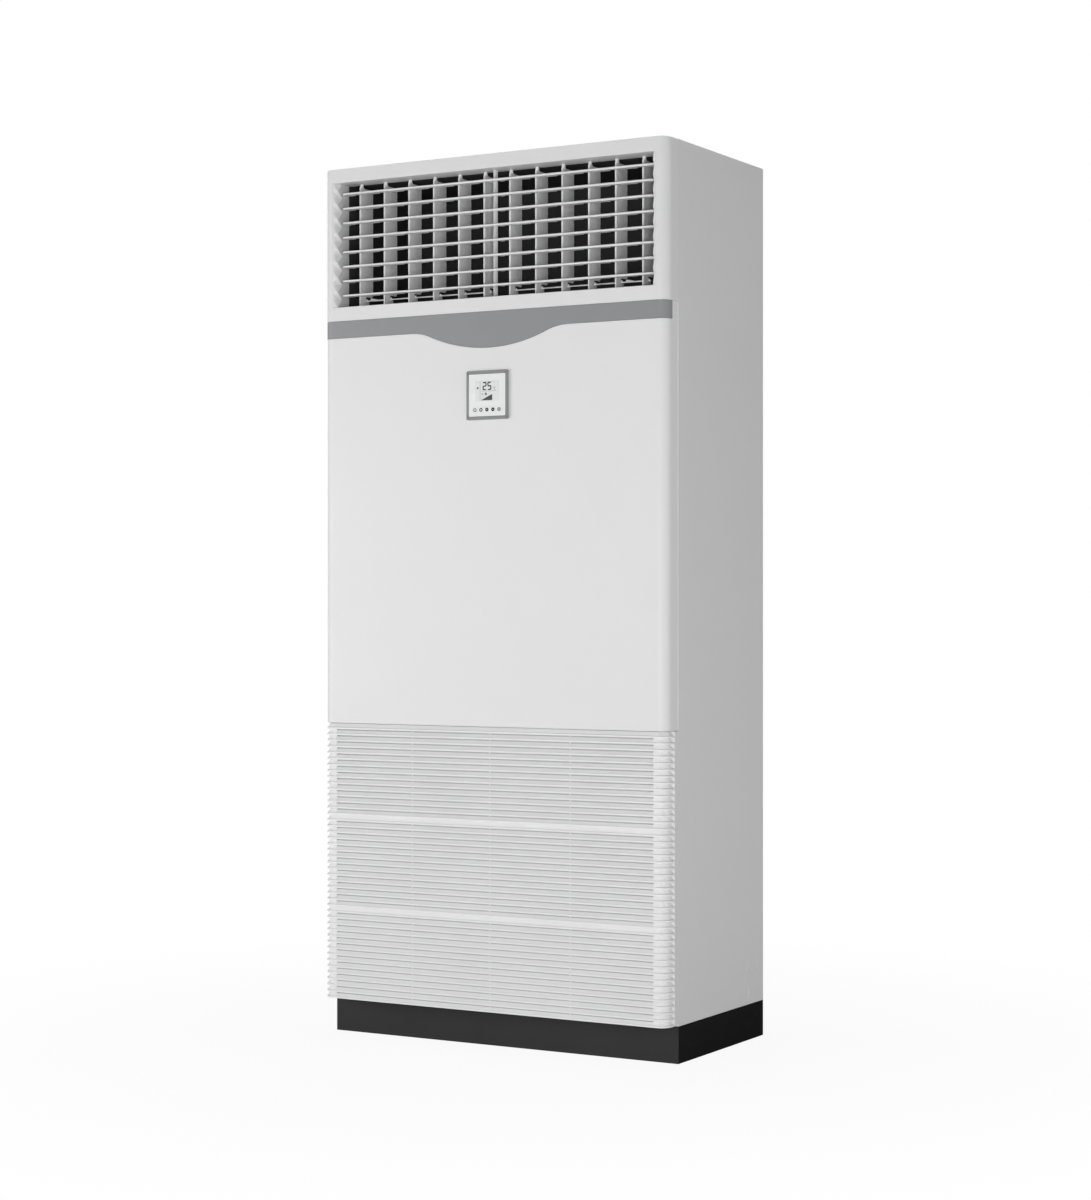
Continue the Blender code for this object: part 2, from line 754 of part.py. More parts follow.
def profile_plate(shape, outline, nose, place, half_at):
    """Plate with a rounded, thicker front edge.

    The outline is (depth, along) points behind the nose line, nose gives the front edge's points,
    place turns (depth, along, across) into space, and half_at gives the half thickness at a depth."""
    upper = [shape.verts.new(place(d, a, half_at(d))) for d, a in outline]
    lower = [shape.verts.new(place(d, a, -half_at(d))) for d, a in outline]
    front_upper = [shape.verts.new(place(d, a, half_at(d))) for d, a in nose]
    front_lower = [shape.verts.new(place(d, a, -half_at(d))) for d, a in nose]
    count = len(outline)
    shape.faces.new(upper)
    shape.faces.new(lower[::-1])
    # The outline's first and last points are the ends of the nose line
    for i in range(count - 1):
        shape.faces.new((upper[i], lower[i], lower[i + 1], upper[i + 1]))
    shape.faces.new([upper[-1], upper[0]] + front_upper)
    shape.faces.new([lower[0], lower[-1]] + front_lower[::-1])
    shape.faces.new(front_upper + front_lower[::-1])
    shape.faces.new((upper[0], lower[0], front_lower[0], front_upper[0]))
    shape.faces.new((upper[-1], lower[-1], front_lower[-1], front_upper[-1]))


def taper(front, chord, nose_half, tail_half):
    """Half thickness of a plate: a rounded front edge, then a straight taper to the tail."""
    def half_at(distance):
        behind = distance - front
        if behind < nose_length / 2:
            return nose_half / 2
        return nose_half + (tail_half - nose_half) * (behind - nose_length) / (chord - nose_length)
    return half_at


def vane_mesh(material):
    """Vane about its own pivot: a tall plate with a lug and pivot above, and a foot below.

    The foot's ledge carries the link rod on an upright pin."""
    front = -vane_pivot
    line = front + nose_length
    tail = front + vane_chord
    foot = front + foot_chord
    heel = front + heel_chord
    foot_bottom = outlet_bottom + foot_gap
    lug_top = vane_top + lug_height
    outline = [(line, foot_bottom), (foot, foot_bottom), (foot, ledge), (heel, ledge),
               (heel + vane_corner / 2, vane_bottom - vane_corner / 2), (heel + vane_corner, vane_bottom),
               (tail - vane_corner, vane_bottom), (tail, vane_bottom + vane_corner),
               (tail, vane_top - vane_corner), (tail - vane_corner, vane_top),
               (2 * lug_half, vane_top), (lug_half * 1.2, vane_top + lug_height / 3), (lug_half, lug_top),
               (-lug_half, lug_top), (-lug_half, vane_top), (line, vane_top)]
    nose = [(front, vane_top), (front, foot_bottom)]
    shape = bmesh.new()
    profile_plate(shape, outline, nose, lambda d, a, across: (across, d, a),
                  taper(front, vane_chord, vane_nose, vane_tail))
    plate = finish("vane_plate", shape, material)
    shape = bmesh.new()
    add_pin(shape, "Z", (0, 0), pivot_radius, vane_top + gap, outlet_top + pivot_reach)
    add_pin(shape, "Z", (0, 0), pivot_radius, outlet_bottom - pivot_reach, foot_bottom + 2 * pivot_reach)
    add_pin(shape, "Z", (0, foot - link_pin_in), link_pin_radius, ledge - link_pin_radius,
            ledge + link_pin_height)
    pins = finish("vane_pins", shape)
    use_boolean(plate, pins, "UNION")
    return bake(plate, [pins])


def bake(thing, tools):
    """The finished mesh of an object with its modifiers applied; the object and its tools go."""
    graph = bpy.context.evaluated_depsgraph_get()
    mesh = bpy.data.meshes.new_from_object(thing.evaluated_get(graph))
    for item in [thing] + tools:
        bpy.data.objects.remove(item, do_unlink=True)
    return mesh


def place_copy(name, mesh, location):
    thing = bpy.data.objects.new(name, mesh)
    thing.location = location
    bpy.context.collection.objects.link(thing)
    return thing


def build_vanes(materials):
    mesh = vane_mesh(materials["louvre"])
    y = front_y + vane_front + vane_pivot
    places = vane_places()
    for i, x in enumerate(places):
        half = "left" if i < vanes_per_half else "right"
        place_copy(f"vane_{half}_{i % vanes_per_half + 1}", mesh, (x, y, 0))


def link_mesh(material, crank_vane):
    """Link rod with an eye round each vane's link pin, about the first pin, and its drive crank."""
    low = ledge + rod_lift
    top = low + rod_thickness
    length = (vanes_per_half - 1) * vane_pitch
    rod = box("rod_bar", (link_hole, -rod_width / 2, low + eye_rise),
              (length - link_hole, rod_width / 2, top - eye_rise), material)
    eyes = bmesh.new()
    holes = bmesh.new()
    for i in range(vanes_per_half):
        add_pin(eyes, "Z", (i * vane_pitch, 0), link_eye, low, top)
        add_pin(holes, "Z", (i * vane_pitch, 0), link_hole, low - skin, top + skin)
    crank = bmesh.new()
    start = crank_vane * vane_pitch
    root, tip = top - rod_thickness / 2, top + crank_height
    outline = [(start + crank_near, root), (start + crank_far, root), (start + crank_flat, tip),
               (start + crank_near, tip)]
    extrude_outline(crank, [(x, -crank_width / 2, z) for x, z in outline], (0, crank_width, 0))
    eye_tool = finish("rod_eyes", eyes)
    hole_tool = finish("rod_holes", holes)
    crank_tool = finish("rod_crank", crank)
    use_boolean(rod, eye_tool, "UNION")
    use_boolean(rod, crank_tool, "UNION")
    use_boolean(rod, hole_tool)
    return bake(rod, [eye_tool, hole_tool, crank_tool])


def build_links(materials):
    y = front_y + vane_front + foot_chord - link_pin_in
    places = vane_places()
    for half, name in enumerate(("link_rod_left", "link_rod_right")):
        mesh = link_mesh(materials["louvre"], crank_vanes[half])
        place_copy(name, mesh, (places[half * vanes_per_half], y, 0))


def blade_mesh(material):
    """Blade about its pivot line: a long plate, notched at each vane and at the middle strip."""
    front = -blade_axis
    line = front + nose_length
    tail = front + blade_chord
    half = outlet_half - blade_end_gap
    notch = vane_front - vane_clearance - blade_front - blade_axis
    deep = front + blade_web
    room = strip_half + strip_clearance - blade_web
    stops = [(x, notch_half_bottom, notch_half_mouth, notch) for x in vane_places()]
    stops.append((0.0, room, room + blade_corner / 2, deep))
    outline = [(line, half - blade_corner), (line + blade_corner, half), (tail, half)]
    for x, low_half, mouth_half, reach in sorted(stops, reverse=True):
        outline += [(tail, x + mouth_half), (reach, x + low_half), (reach, x - low_half), (tail, x - mouth_half)]
    outline += [(tail, -half), (line + blade_corner, -half), (line, -half + blade_corner)]
    nose = [(front, -half + blade_corner), (front, half - blade_corner)]
    shape = bmesh.new()
    profile_plate(shape, outline, nose, lambda d, a, across: (a, d, across),
                  taper(front, blade_chord, blade_nose, blade_tail))
    plate = finish("blade_plate", shape, material)
    shape = bmesh.new()
    for side in (1, -1):
        ends = sorted((side * (half - blade_pin_length), side * (half + blade_pin_length)))
        add_pin(shape, "X", (0, 0), blade_pin_radius, ends[0], ends[1])
    pins = finish("blade_pins", shape)
    use_boolean(plate, pins, "UNION")
    return bake(plate, [pins])


def build_blades(materials):
    mesh = blade_mesh(materials["louvre"])
    y = front_y + blade_front + blade_axis
    for i, z in enumerate(blade_heights()):
        place_copy(f"blade_{i + 1}", mesh, (0, y, z))


# Control panel

def build_control(materials):
    front = front_y - control_out
    back = front_y - gap
    half_w, half_h = control_width / 2, control_height / 2
    low_z, high_z = control_centre - half_h, control_centre + half_h
    open_w, open_low, open_high = half_w - bezel_border, low_z + bezel_border_high, high_z - bezel_border_high
    bezel = box("control_bezel", (-half_w, front, low_z), (half_w, back, high_z), materials["bezel"])
    window = box("bezel_cutter", (-open_w, front - skin, open_low), (open_w, back + skin, open_high))
    bevel = bezel.modifiers.new("edge", "BEVEL")
    bevel.width = bezel_bevel
    bevel.segments = 1
    use_boolean(bezel, window)
    face_front = front + face_drop
    face = box("control_face", (-open_w + gap, face_front, open_low + gap), (open_w - gap, back, open_high - gap),
               materials["face"])
    display = (display_width / 2, display_centre - display_height / 2, display_centre + display_height / 2)
    keys = (keypad_width / 2, key_height - keypad_height / 2, key_height + keypad_height / 2)

    def pockets(tool):
        for half, low, high in (display, keys):
            add_box(tool, (-half, face_front - skin, low), (half, face_front + keypad_thickness, high))

    use_boolean(face, make_cutter("face_cutter", pockets))
    box("display_window", (-display[0] + gap, face_front - gap, display[1] + gap),
        (display[0] - gap, face_front + keypad_thickness - gap, display[2] - gap), materials["display"])
    pad = box("keypad", (-keys[0] + gap, face_front, keys[1] + gap),
              (keys[0] - gap, face_front + keypad_thickness - gap, keys[2] - gap), materials["face"])

    def rises(tool):
        for i in range(key_count):
            x = (i - (key_count - 1) / 2) * key_pitch
            add_pin(tool, "Y", (x, key_height), key_radius, face_front - key_rise,
                    face_front + keypad_thickness / 2, key_sides)

    use_boolean(pad, make_cutter("key_rises", rises), "UNION")


def main():
    clear_scene()
    materials = make_materials()
    build_plinth(materials)
    build_cabinet(materials)
    build_front_panel(materials)
    build_trim_band(materials)
    build_grille(materials)
    build_discharge_frame(materials)
    build_air_box(materials)
    build_side_walls(materials)
    build_centre_strip(materials)
    build_vanes(materials)
    build_links(materials)
    build_blades(materials)
    build_control(materials)


main()
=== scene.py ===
# Looks of the floor standing air conditioner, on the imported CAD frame.
# Metres: X to the right seen from the front, Y to the back, Z up.
import json
import math

import bmesh
import bpy
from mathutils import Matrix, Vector


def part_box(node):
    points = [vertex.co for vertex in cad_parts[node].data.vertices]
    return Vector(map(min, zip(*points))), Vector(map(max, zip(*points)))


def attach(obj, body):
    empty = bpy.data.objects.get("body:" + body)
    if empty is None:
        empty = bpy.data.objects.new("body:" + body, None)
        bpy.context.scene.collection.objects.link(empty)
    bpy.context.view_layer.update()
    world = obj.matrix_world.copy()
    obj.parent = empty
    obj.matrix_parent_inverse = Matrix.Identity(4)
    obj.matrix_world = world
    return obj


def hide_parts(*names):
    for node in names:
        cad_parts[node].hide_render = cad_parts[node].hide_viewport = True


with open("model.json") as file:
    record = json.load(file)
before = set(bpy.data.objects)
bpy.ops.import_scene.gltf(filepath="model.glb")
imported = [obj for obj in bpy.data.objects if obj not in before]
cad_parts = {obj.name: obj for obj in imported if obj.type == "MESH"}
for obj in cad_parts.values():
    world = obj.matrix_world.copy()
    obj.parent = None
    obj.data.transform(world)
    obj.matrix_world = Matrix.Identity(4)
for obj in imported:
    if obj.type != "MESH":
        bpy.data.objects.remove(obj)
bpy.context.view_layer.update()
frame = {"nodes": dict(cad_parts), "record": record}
print("frame loaded:", len(frame["nodes"]), "nodes")

shape = {
    "cornerRadius": 0.023,      # front mouldings, where they wrap round the sides
    "cornerSteps": 12,
    "gap": 0.0003,              # what neighbours keep between them
}

# Planes read off the frame
frameLow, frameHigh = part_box("discharge_frame")
bandLow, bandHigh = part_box("trim_band")
frontY = frameLow.y
seamY = frameHigh.y
sideX = frameHigh.x
flatX = sideX - shape["cornerRadius"]
cornerY = frontY + shape["cornerRadius"]


def deselectAll():
    if bpy.context.mode != "OBJECT":
        bpy.ops.object.mode_set(mode="OBJECT")
    bpy.ops.object.select_all(action="DESELECT")


def activate(piece):
    deselectAll()
    piece.select_set(True)
    bpy.context.view_layer.objects.active = piece


def startEdit(piece, kind="EDGE"):
    activate(piece)
    bpy.ops.object.mode_set(mode="EDIT")
    bpy.ops.mesh.select_mode(type=kind)
    bpy.ops.mesh.select_all(action="DESELECT")


def endEdit():
    bpy.ops.object.mode_set(mode="OBJECT")


def pick(piece, kind, test):
    # selects what passes the test, by its place
    bpy.ops.mesh.select_mode(type=kind)
    bpy.ops.mesh.select_all(action="DESELECT")
    mesh = bmesh.from_edit_mesh(piece.data)
    if kind == "VERT":
        found = [v for v in mesh.verts if test(v.co)]
    elif kind == "EDGE":
        found = [e for e in mesh.edges if all(test(v.co) for v in e.verts)]
    else:
        found = [f for f in mesh.faces if test(f.calc_center_median())]
    for item in found:
        item.select_set(True)
    mesh.select_flush_mode()
    bmesh.update_edit_mesh(piece.data)
    return len(found)


def pull(x, y, z):
    bpy.ops.mesh.extrude_region_move(TRANSFORM_OT_translate={"value": (x, y, z)})


def shift(x, y, z):
    bpy.ops.transform.translate(value=(x, y, z))


def near(a, b, room=1e-5):
    return abs(a - b) < room


def applyPlace(piece):
    activate(piece)
    bpy.ops.object.transform_apply(location=True, rotation=True, scale=True)


def addModifier(piece, kind, **values):
    modifier = piece.modifiers.new(kind.lower(), kind)
    for key, value in values.items():
        setattr(modifier, key, value)
    return modifier


def applyAll(piece):
    activate(piece)
    for modifier in list(piece.modifiers):
        bpy.ops.object.modifier_apply(modifier=modifier.name)


def crease(piece, test):
    # the picked edges stay crisp when the piece is smoothed
    startEdit(piece)
    pick(piece, "EDGE", test)
    bpy.ops.mesh.mark_sharp()
    endEdit()


def smooth(piece, angle=35):
    # round where it bends softly, with the large faces kept flat
    activate(piece)
    bpy.ops.object.shade_smooth_by_angle(angle=math.radians(angle))
    addModifier(piece, "WEIGHTED_NORMAL", mode="FACE_AREA", weight=100, keep_sharp=True)
    applyAll(piece)


def softEdges(piece, width, segments=2, angle=28):
    addModifier(piece, "BEVEL", width=width, segments=segments, limit_method="ANGLE",
                angle_limit=math.radians(angle), use_clamp_overlap=True)


def finishPiece(piece, material, body, nodes=()):
    piece.data.materials.clear()
    piece.data.materials.append(material)
    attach(piece, body)
    if nodes:
        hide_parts(*nodes)


def tonePart(piece, finish, test):
    # the faces that pass the test get a finish of their own
    piece.data.materials.append(look[finish])
    startEdit(piece, "FACE")
    pick(piece, "FACE", test)
    piece.active_material_index = len(piece.data.materials) - 1
    bpy.ops.object.material_slot_assign()
    endEdit()


def outwards(piece):
    # an open sheet turned so that most of it faces the front
    startEdit(piece, "FACE")
    bpy.ops.mesh.select_all(action="SELECT")
    bpy.ops.mesh.remove_doubles(threshold=1e-5)
    bpy.ops.mesh.normals_make_consistent(inside=False)
    mesh = bmesh.from_edit_mesh(piece.data)
    if sum(face.normal.y * face.calc_area() for face in mesh.faces) > 0:
        bpy.ops.mesh.flip_normals()
    endEdit()


def newMaterial(name):
    material = bpy.data.materials.new(name)
    material.use_nodes = True
    tree = material.node_tree
    return material, tree, tree.nodes["Principled BSDF"]


def addNoise(tree, place, scale, detail=3.0):
    noise = tree.nodes.new("ShaderNodeTexNoise")
    noise.inputs["Scale"].default_value = scale
    noise.inputs["Detail"].default_value = detail
    tree.links.new(place, noise.inputs["Vector"])
    return noise.outputs["Fac"]


def blendColours(tree, factor, first, second):
    mix = tree.nodes.new("ShaderNodeMix")
    mix.data_type = "RGBA"
    mix.inputs["A"].default_value = (*first, 1.0)
    mix.inputs["B"].default_value = (*second, 1.0)
    tree.links.new(factor, mix.inputs["Factor"])
    return mix.outputs["Result"]


def spread(tree, value, low, high, newLow, newHigh):
    node = tree.nodes.new("ShaderNodeMapRange")
    node.inputs["From Min"].default_value = low
    node.inputs["From Max"].default_value = high
    node.inputs["To Min"].default_value = newLow
    node.inputs["To Max"].default_value = newHigh
    tree.links.new(value, node.inputs["Value"])
    return node.outputs["Result"]


def bumpFrom(tree, height, strength, distance):
    bump = tree.nodes.new("ShaderNodeBump")
    bump.inputs["Strength"].default_value = strength
    bump.inputs["Distance"].default_value = distance
    tree.links.new(height, bump.inputs["Height"])
    return bump.outputs["Normal"]


def surface(name, colour, vary, roughness, gloss, grain, grainDepth):
    # colour wanders a little over the piece, and fine grain breaks up the gloss
    material, tree, shader = newMaterial(name)
    shader.inputs["Specular IOR Level"].default_value = gloss
    place = tree.nodes.new("ShaderNodeTexCoord").outputs["Object"]
    clouds = addNoise(tree, place, 6.0)
    low = [c * (1 - vary) for c in colour]
    high = [min(1.0, c * (1 + vary)) for c in colour]
    mixed = blendColours(tree, spread(tree, clouds, 0.35, 0.65, 0.0, 1.0), low, high)
    tree.links.new(mixed, shader.inputs["Base Color"])
    rough = spread(tree, clouds, 0.3, 0.7, roughness - 0.04, roughness + 0.05)
    tree.links.new(rough, shader.inputs["Roughness"])
    fine = addNoise(tree, place, grain, 2.0)
    tree.links.new(bumpFrom(tree, fine, 0.5, grainDepth), shader.inputs["Normal"])
    return material


# colour, how far it wanders, roughness, gloss, grain scale, grain depth
finishes = {
    "framePlastic": ((0.715, 0.715, 0.717), 0.008, 0.45, 0.40, 900, 0.00006),
    "panelPaint": ((0.735, 0.735, 0.737), 0.006, 0.42, 0.40, 1400, 0.00004),
    "grillePlastic": ((0.805, 0.805, 0.807), 0.010, 0.48, 0.35, 900, 0.00006),
    "shellPaint": ((0.700, 0.700, 0.703), 0.008, 0.46, 0.35, 1300, 0.00005),
    "bandPlastic": ((0.240, 0.243, 0.250), 0.015, 0.42, 0.40, 1100, 0.00005),
    "plinthPaint": ((0.036, 0.036, 0.037), 0.060, 0.55, 0.06, 1200, 0.00006),
    # painted shade: a darker copy of the plinth's black, for its sides and back
    "plinthPaintedShade": ((0.017, 0.017, 0.017), 0.060, 0.60, 0.00, 1200, 0.00006),
    "ductLining": ((0.045, 0.045, 0.046), 0.100, 0.80, 0.10, 700, 0.00020),
    "louvrePlastic": ((0.765, 0.765, 0.767), 0.012, 0.42, 0.35, 900, 0.00006),
    # painted shade: a darker copy of the frame's plastic, for the inner faces of the outlet's walls
    "holderPaintedShade": ((0.600, 0.600, 0.602), 0.012, 0.50, 0.30, 900, 0.00006),
    "bezelPlastic": ((0.225, 0.228, 0.232), 0.020, 0.40, 0.35, 1500, 0.00004),
    "facePlastic": ((0.790, 0.793, 0.797), 0.006, 0.28, 0.40, 1600, 0.00002),
    # painted highlight: a whiter copy of the face's plastic, for the rim round it
    "rimPaintedHighlight": ((0.920, 0.920, 0.920), 0.004, 0.35, 0.40, 1600, 0.00002),
    "displayGlass": ((0.762, 0.766, 0.766), 0.006, 0.14, 0.40, 1600, 0.00001),
    "screwZinc": ((0.400, 0.405, 0.410), 0.030, 0.36, 0.60, 900, 0.00004),
    "inkBlack": ((0.012, 0.012, 0.013), 0.050, 0.50, 0.20, 2000, 0.00001),
    "inkDark": ((0.032, 0.032, 0.034), 0.050, 0.50, 0.20, 2000, 0.00001),
    "inkMid": ((0.115, 0.115, 0.118), 0.040, 0.50, 0.20, 2000, 0.00001),
    "inkPale": ((0.300, 0.305, 0.310), 0.030, 0.50, 0.20, 2000, 0.00001),
    "inkFaint": ((0.480, 0.485, 0.490), 0.030, 0.50, 0.20, 2000, 0.00001),
}
look = {name: surface(name, *values) for name, values in finishes.items()}


def makeFilterWeave():
    # pale woven mesh behind the slots of the grille
    weave = {
        "thread": 0.0018,
        "hollow": (0.340, 0.340, 0.344),
        "crown": (0.540, 0.540, 0.545),
        "bump": (0.6, 0.0004),
        "roughness": 0.9,
    }
    material, tree, shader = newMaterial("filterWeave")
    place = tree.nodes.new("ShaderNodeTexCoord").outputs["Object"]
    waves = []
    for axis in ("X", "Z"):
        wave = tree.nodes.new("ShaderNodeTexWave")
        wave.bands_direction = axis
        wave.inputs["Scale"].default_value = math.pi / (10 * weave["thread"])
        tree.links.new(place, wave.inputs["Vector"])
        waves.append(wave.outputs["Fac"])
    most = tree.nodes.new("ShaderNodeMath")
    most.operation = "MAXIMUM"
    tree.links.new(waves[0], most.inputs[0])
    tree.links.new(waves[1], most.inputs[1])
    tone = blendColours(tree, most.outputs[0], weave["hollow"], weave["crown"])
    tree.links.new(tone, shader.inputs["Base Color"])
    tree.links.new(bumpFrom(tree, most.outputs[0], *weave["bump"]), shader.inputs["Normal"])
    shader.inputs["Roughness"].default_value = weave["roughness"]
    return material


look["filterWeave"] = makeFilterWeave()
print("materials made:", len(look))


def frontGrid(name, columns, half, low, high):
    # upright sheet in the front plane, cut into columns
    bpy.ops.mesh.primitive_grid_add(x_subdivisions=columns, y_subdivisions=1, size=1,
                                    location=(0, frontY, (low + high) / 2), rotation=(math.pi / 2, 0, 0))
    piece = bpy.context.object
    piece.name = name
    piece.scale = (2 * half, high - low, 1)
    applyPlace(piece)
    return piece


def wrapEnds(piece, half, back):
    # turns both ends of a front sheet round the corners, then runs them straight back
    for side in (1, -1):
        startEdit(piece)
        pick(piece, "EDGE", lambda co: near(co.x, side * half))
        bpy.ops.mesh.spin(steps=shape["cornerSteps"], angle=-side * math.pi / 2,
                          center=(side * half, cornerY, 0), axis=(0, 0, 1))
        pick(piece, "EDGE", lambda co: co.x * side > half + 0.01 and near(co.y, cornerY, 1e-4))
        if back > cornerY:
            pull(0, back - cornerY, 0)
        endEdit()


band = {
    "columns": 90,
    "wrap": 0.026,              # how far it runs back on each side
    "thickness": 0.0025,
    "edge": 0.0004,
    "underBand": 0.0366,        # its height at the ends
    "arc": 0.360,
    "fillet": 0.120,
}
bandLevel = bandHigh.z - band["underBand"]


def bandEdge(x):
    # lower edge of the band: level, a fillet, and a wide arc in the middle
    arcZ, filletZ = bandLow.z + band["arc"], bandLevel - band["fillet"]
    reachBoth = band["arc"] + band["fillet"]
    filletX = math.sqrt(reachBoth ** 2 - (arcZ - filletZ) ** 2)
    away = abs(x)
    if away <= filletX * band["arc"] / reachBoth:
        return arcZ - math.sqrt(band["arc"] ** 2 - away ** 2)
    if away < filletX:
        return filletZ + math.sqrt(band["fillet"] ** 2 - (filletX - away) ** 2)
    return bandLevel


def followBand(piece, half, test):
    # lowers one row of a sheet along the band's curve
    startEdit(piece, "VERT")
    for i in range(band["columns"] + 1):
        x = -half + 2 * half * i / band["columns"]
        drop = bandEdge(x) - bandLevel
        if drop < -1e-6:
            pick(piece, "VERT", lambda co: near(co.x, x, 1e-4) and test(co))
            shift(0, 0, drop)
    endEdit()


def makeTrimBand():
    piece = frontGrid("trimBand", band["columns"], flatX, bandLevel, bandHigh.z)
    followBand(piece, flatX, lambda co: co.z < bandHigh.z - 0.01)
    wrapEnds(piece, flatX, frontY + band["wrap"])
    outwards(piece)
    addModifier(piece, "SOLIDIFY", thickness=band["thickness"], offset=-1, use_even_offset=True)
    softEdges(piece, band["edge"], 2, 40)
    applyAll(piece)
    smooth(piece)
    finishPiece(piece, look["bandPlastic"], "cabinet", ["trim_band"])


panel = {
    "thickness": 0.0025,
    "edge": 0.0006,
    "sideStep": 0.0263,         # behind this the panel runs up beside the band
    "inset": 0.0009,            # the sides are set in, up to the raised rear lip
    "lip": 0.0030,
    "lipCorner": 0.0024,
}


def makeFrontPanel():
    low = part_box("front_panel")[0].z
    half = flatX - panel["inset"]
    piece = frontGrid("frontPanel", band["columns"], half, low, bandLevel - shape["gap"])
    followBand(piece, half, lambda co: co.z > low + 0.1)
    back, lipY = frontY + panel["sideStep"], seamY - panel["lip"]
    wrapEnds(piece, half, back)
    for side in (1, -1):
        startEdit(piece)
        pick(piece, "EDGE", lambda co: near(co.y, back, 1e-4) and co.x * side > 0)
        pull(0, lipY - back, 0)
        pull(side * panel["inset"], seamY - lipY, 0)
        pick(piece, "EDGE", lambda co: co.y > back - 1e-4 and co.x * side > 0 and co.z > low + 0.1)
        pull(0, 0, bandHigh.z - bandLevel + shape["gap"])
        endEdit()
    outwards(piece)
    startEdit(piece, "VERT")
    pick(piece, "VERT", lambda co: near(co.y, seamY, 1e-4) and near(co.z, low, 1e-4))
    bpy.ops.mesh.bevel(offset=panel["lipCorner"], segments=4, affect="VERTICES")
    endEdit()
    addModifier(piece, "SOLIDIFY", thickness=panel["thickness"], offset=-1, use_even_offset=True)
    softEdges(piece, panel["edge"], 2, 40)
    applyAll(piece)
    crease(piece, lambda co: near(co.y, lipY, 1e-4))
    smooth(piece)
    finishPiece(piece, look["panelPaint"], "cabinet", ["front_panel"])


head = {
    "side": 0.0248,             # frame beside the outlet
    "border": 0.030,            # above and below it
    "topEdge": 0.0022,
    "rim": 0.0014,              # soft edge of the outlet's long sides
    "thickness": 0.0025,
}


def makeDischargeFrame():
    low, high = frameLow.z, frameHigh.z
    mouthX = sideX - head["side"] + shape["gap"]
    mouthLow, mouthHigh = bandHigh.z + head["border"], high - head["border"]
    bpy.ops.mesh.primitive_grid_add(x_subdivisions=3, y_subdivisions=3, size=1,
                                    location=(0, frontY, (low + high) / 2), rotation=(math.pi / 2, 0, 0))
    piece = bpy.context.object
    piece.name = "dischargeFrame"
    piece.scale = (2 * flatX, high - low, 1)
    applyPlace(piece)
    startEdit(piece, "VERT")
    for side in (1, -1):
        inner = side * flatX / 3
        pick(piece, "VERT", lambda co: near(co.x, inner, 1e-4))
        shift(side * mouthX - inner, 0, 0)
    third = (high - low) / 3
    for old, new in ((low + third, mouthLow), (high - third, mouthHigh)):
        pick(piece, "VERT", lambda co: near(co.z, old, 1e-4))
        shift(0, 0, new - old)
    pick(piece, "FACE", lambda co: abs(co.x) < 0.1 and near(co.z, (mouthLow + mouthHigh) / 2, 0.01))
    bpy.ops.mesh.delete(type="FACE")
    endEdit()
    wrapEnds(piece, flatX, seamY)
    startEdit(piece)
    # the sides of the opening run back to the seam, then the frame is closed above and below
    pick(piece, "EDGE", lambda co: near(co.y, frontY, 1e-4) and abs(co.x) < mouthX + 1e-4
         and mouthLow - 1e-4 < co.z < mouthHigh + 1e-4)
    pull(0, seamY - frontY, 0)
    for z in (low, high):
        pick(piece, "EDGE", lambda co: near(co.z, z, 1e-4))
        bpy.ops.mesh.edge_face_add()
    endEdit()
    outwards(piece)
    startEdit(piece)
    pick(piece, "EDGE", lambda co: near(co.z, high, 1e-4)
         and (co.y < seamY - 1e-4 or abs(co.x) > sideX - 1e-4))
    bpy.ops.mesh.bevel(offset=head["topEdge"], segments=4, affect="EDGES")
    for z in (mouthLow, mouthHigh):
        pick(piece, "EDGE", lambda co: near(co.y, frontY, 1e-4) and near(co.z, z, 1e-4)
             and abs(co.x) < mouthX + 1e-4)
        bpy.ops.mesh.bevel(offset=head["rim"], segments=3, affect="EDGES")
    endEdit()
    addModifier(piece, "SOLIDIFY", thickness=head["thickness"], offset=-1, use_even_offset=True)
    applyAll(piece)
    smooth(piece, 40)
    finishPiece(piece, look["framePlastic"], "cabinet", ["discharge_frame"])


makeTrimBand()
makeFrontPanel()
makeDischargeFrame()
print("front mouldings done")


grille = {
    "sections": ("intake_grille_upper", "intake_grille_middle", "intake_grille_lower"),
    "ribs": 15,
    "depth": 0.0065,            # recess behind the lips
    "slot": 0.0029,
    "lip": 0.0034,              # upright face of a rib's lip
    "shadowGap": 0.0005,        # between the panel and the first rib
    "slope": (0.0013, 0.0022),  # rise and depth of the slope's lower, steeper part
    "endStrip": 0.0325,         # closed strip at each end of a slot
    "web": 0.0018,
    "wrap": 0.036,              # the ribs end this far back on each side
    "wall": 0.0015,
    "edge": 0.0002,
    "slotEnd": 0.0003,          # width of the step where a slot ends
}
slotReach = sideX - grille["endStrip"]


def gridLines():
    half = grille["web"] / 2
    right = [half, slotReach / 2 - half, slotReach / 2 + half, slotReach, slotReach + grille["slotEnd"]]
    return [-flatX] + [-x for x in right[::-1]] + right + [flatX]


def isOpening(x):
    half = grille["web"] / 2
    away = abs(x)
    return half < away < slotReach and abs(away - slotReach / 2) > half


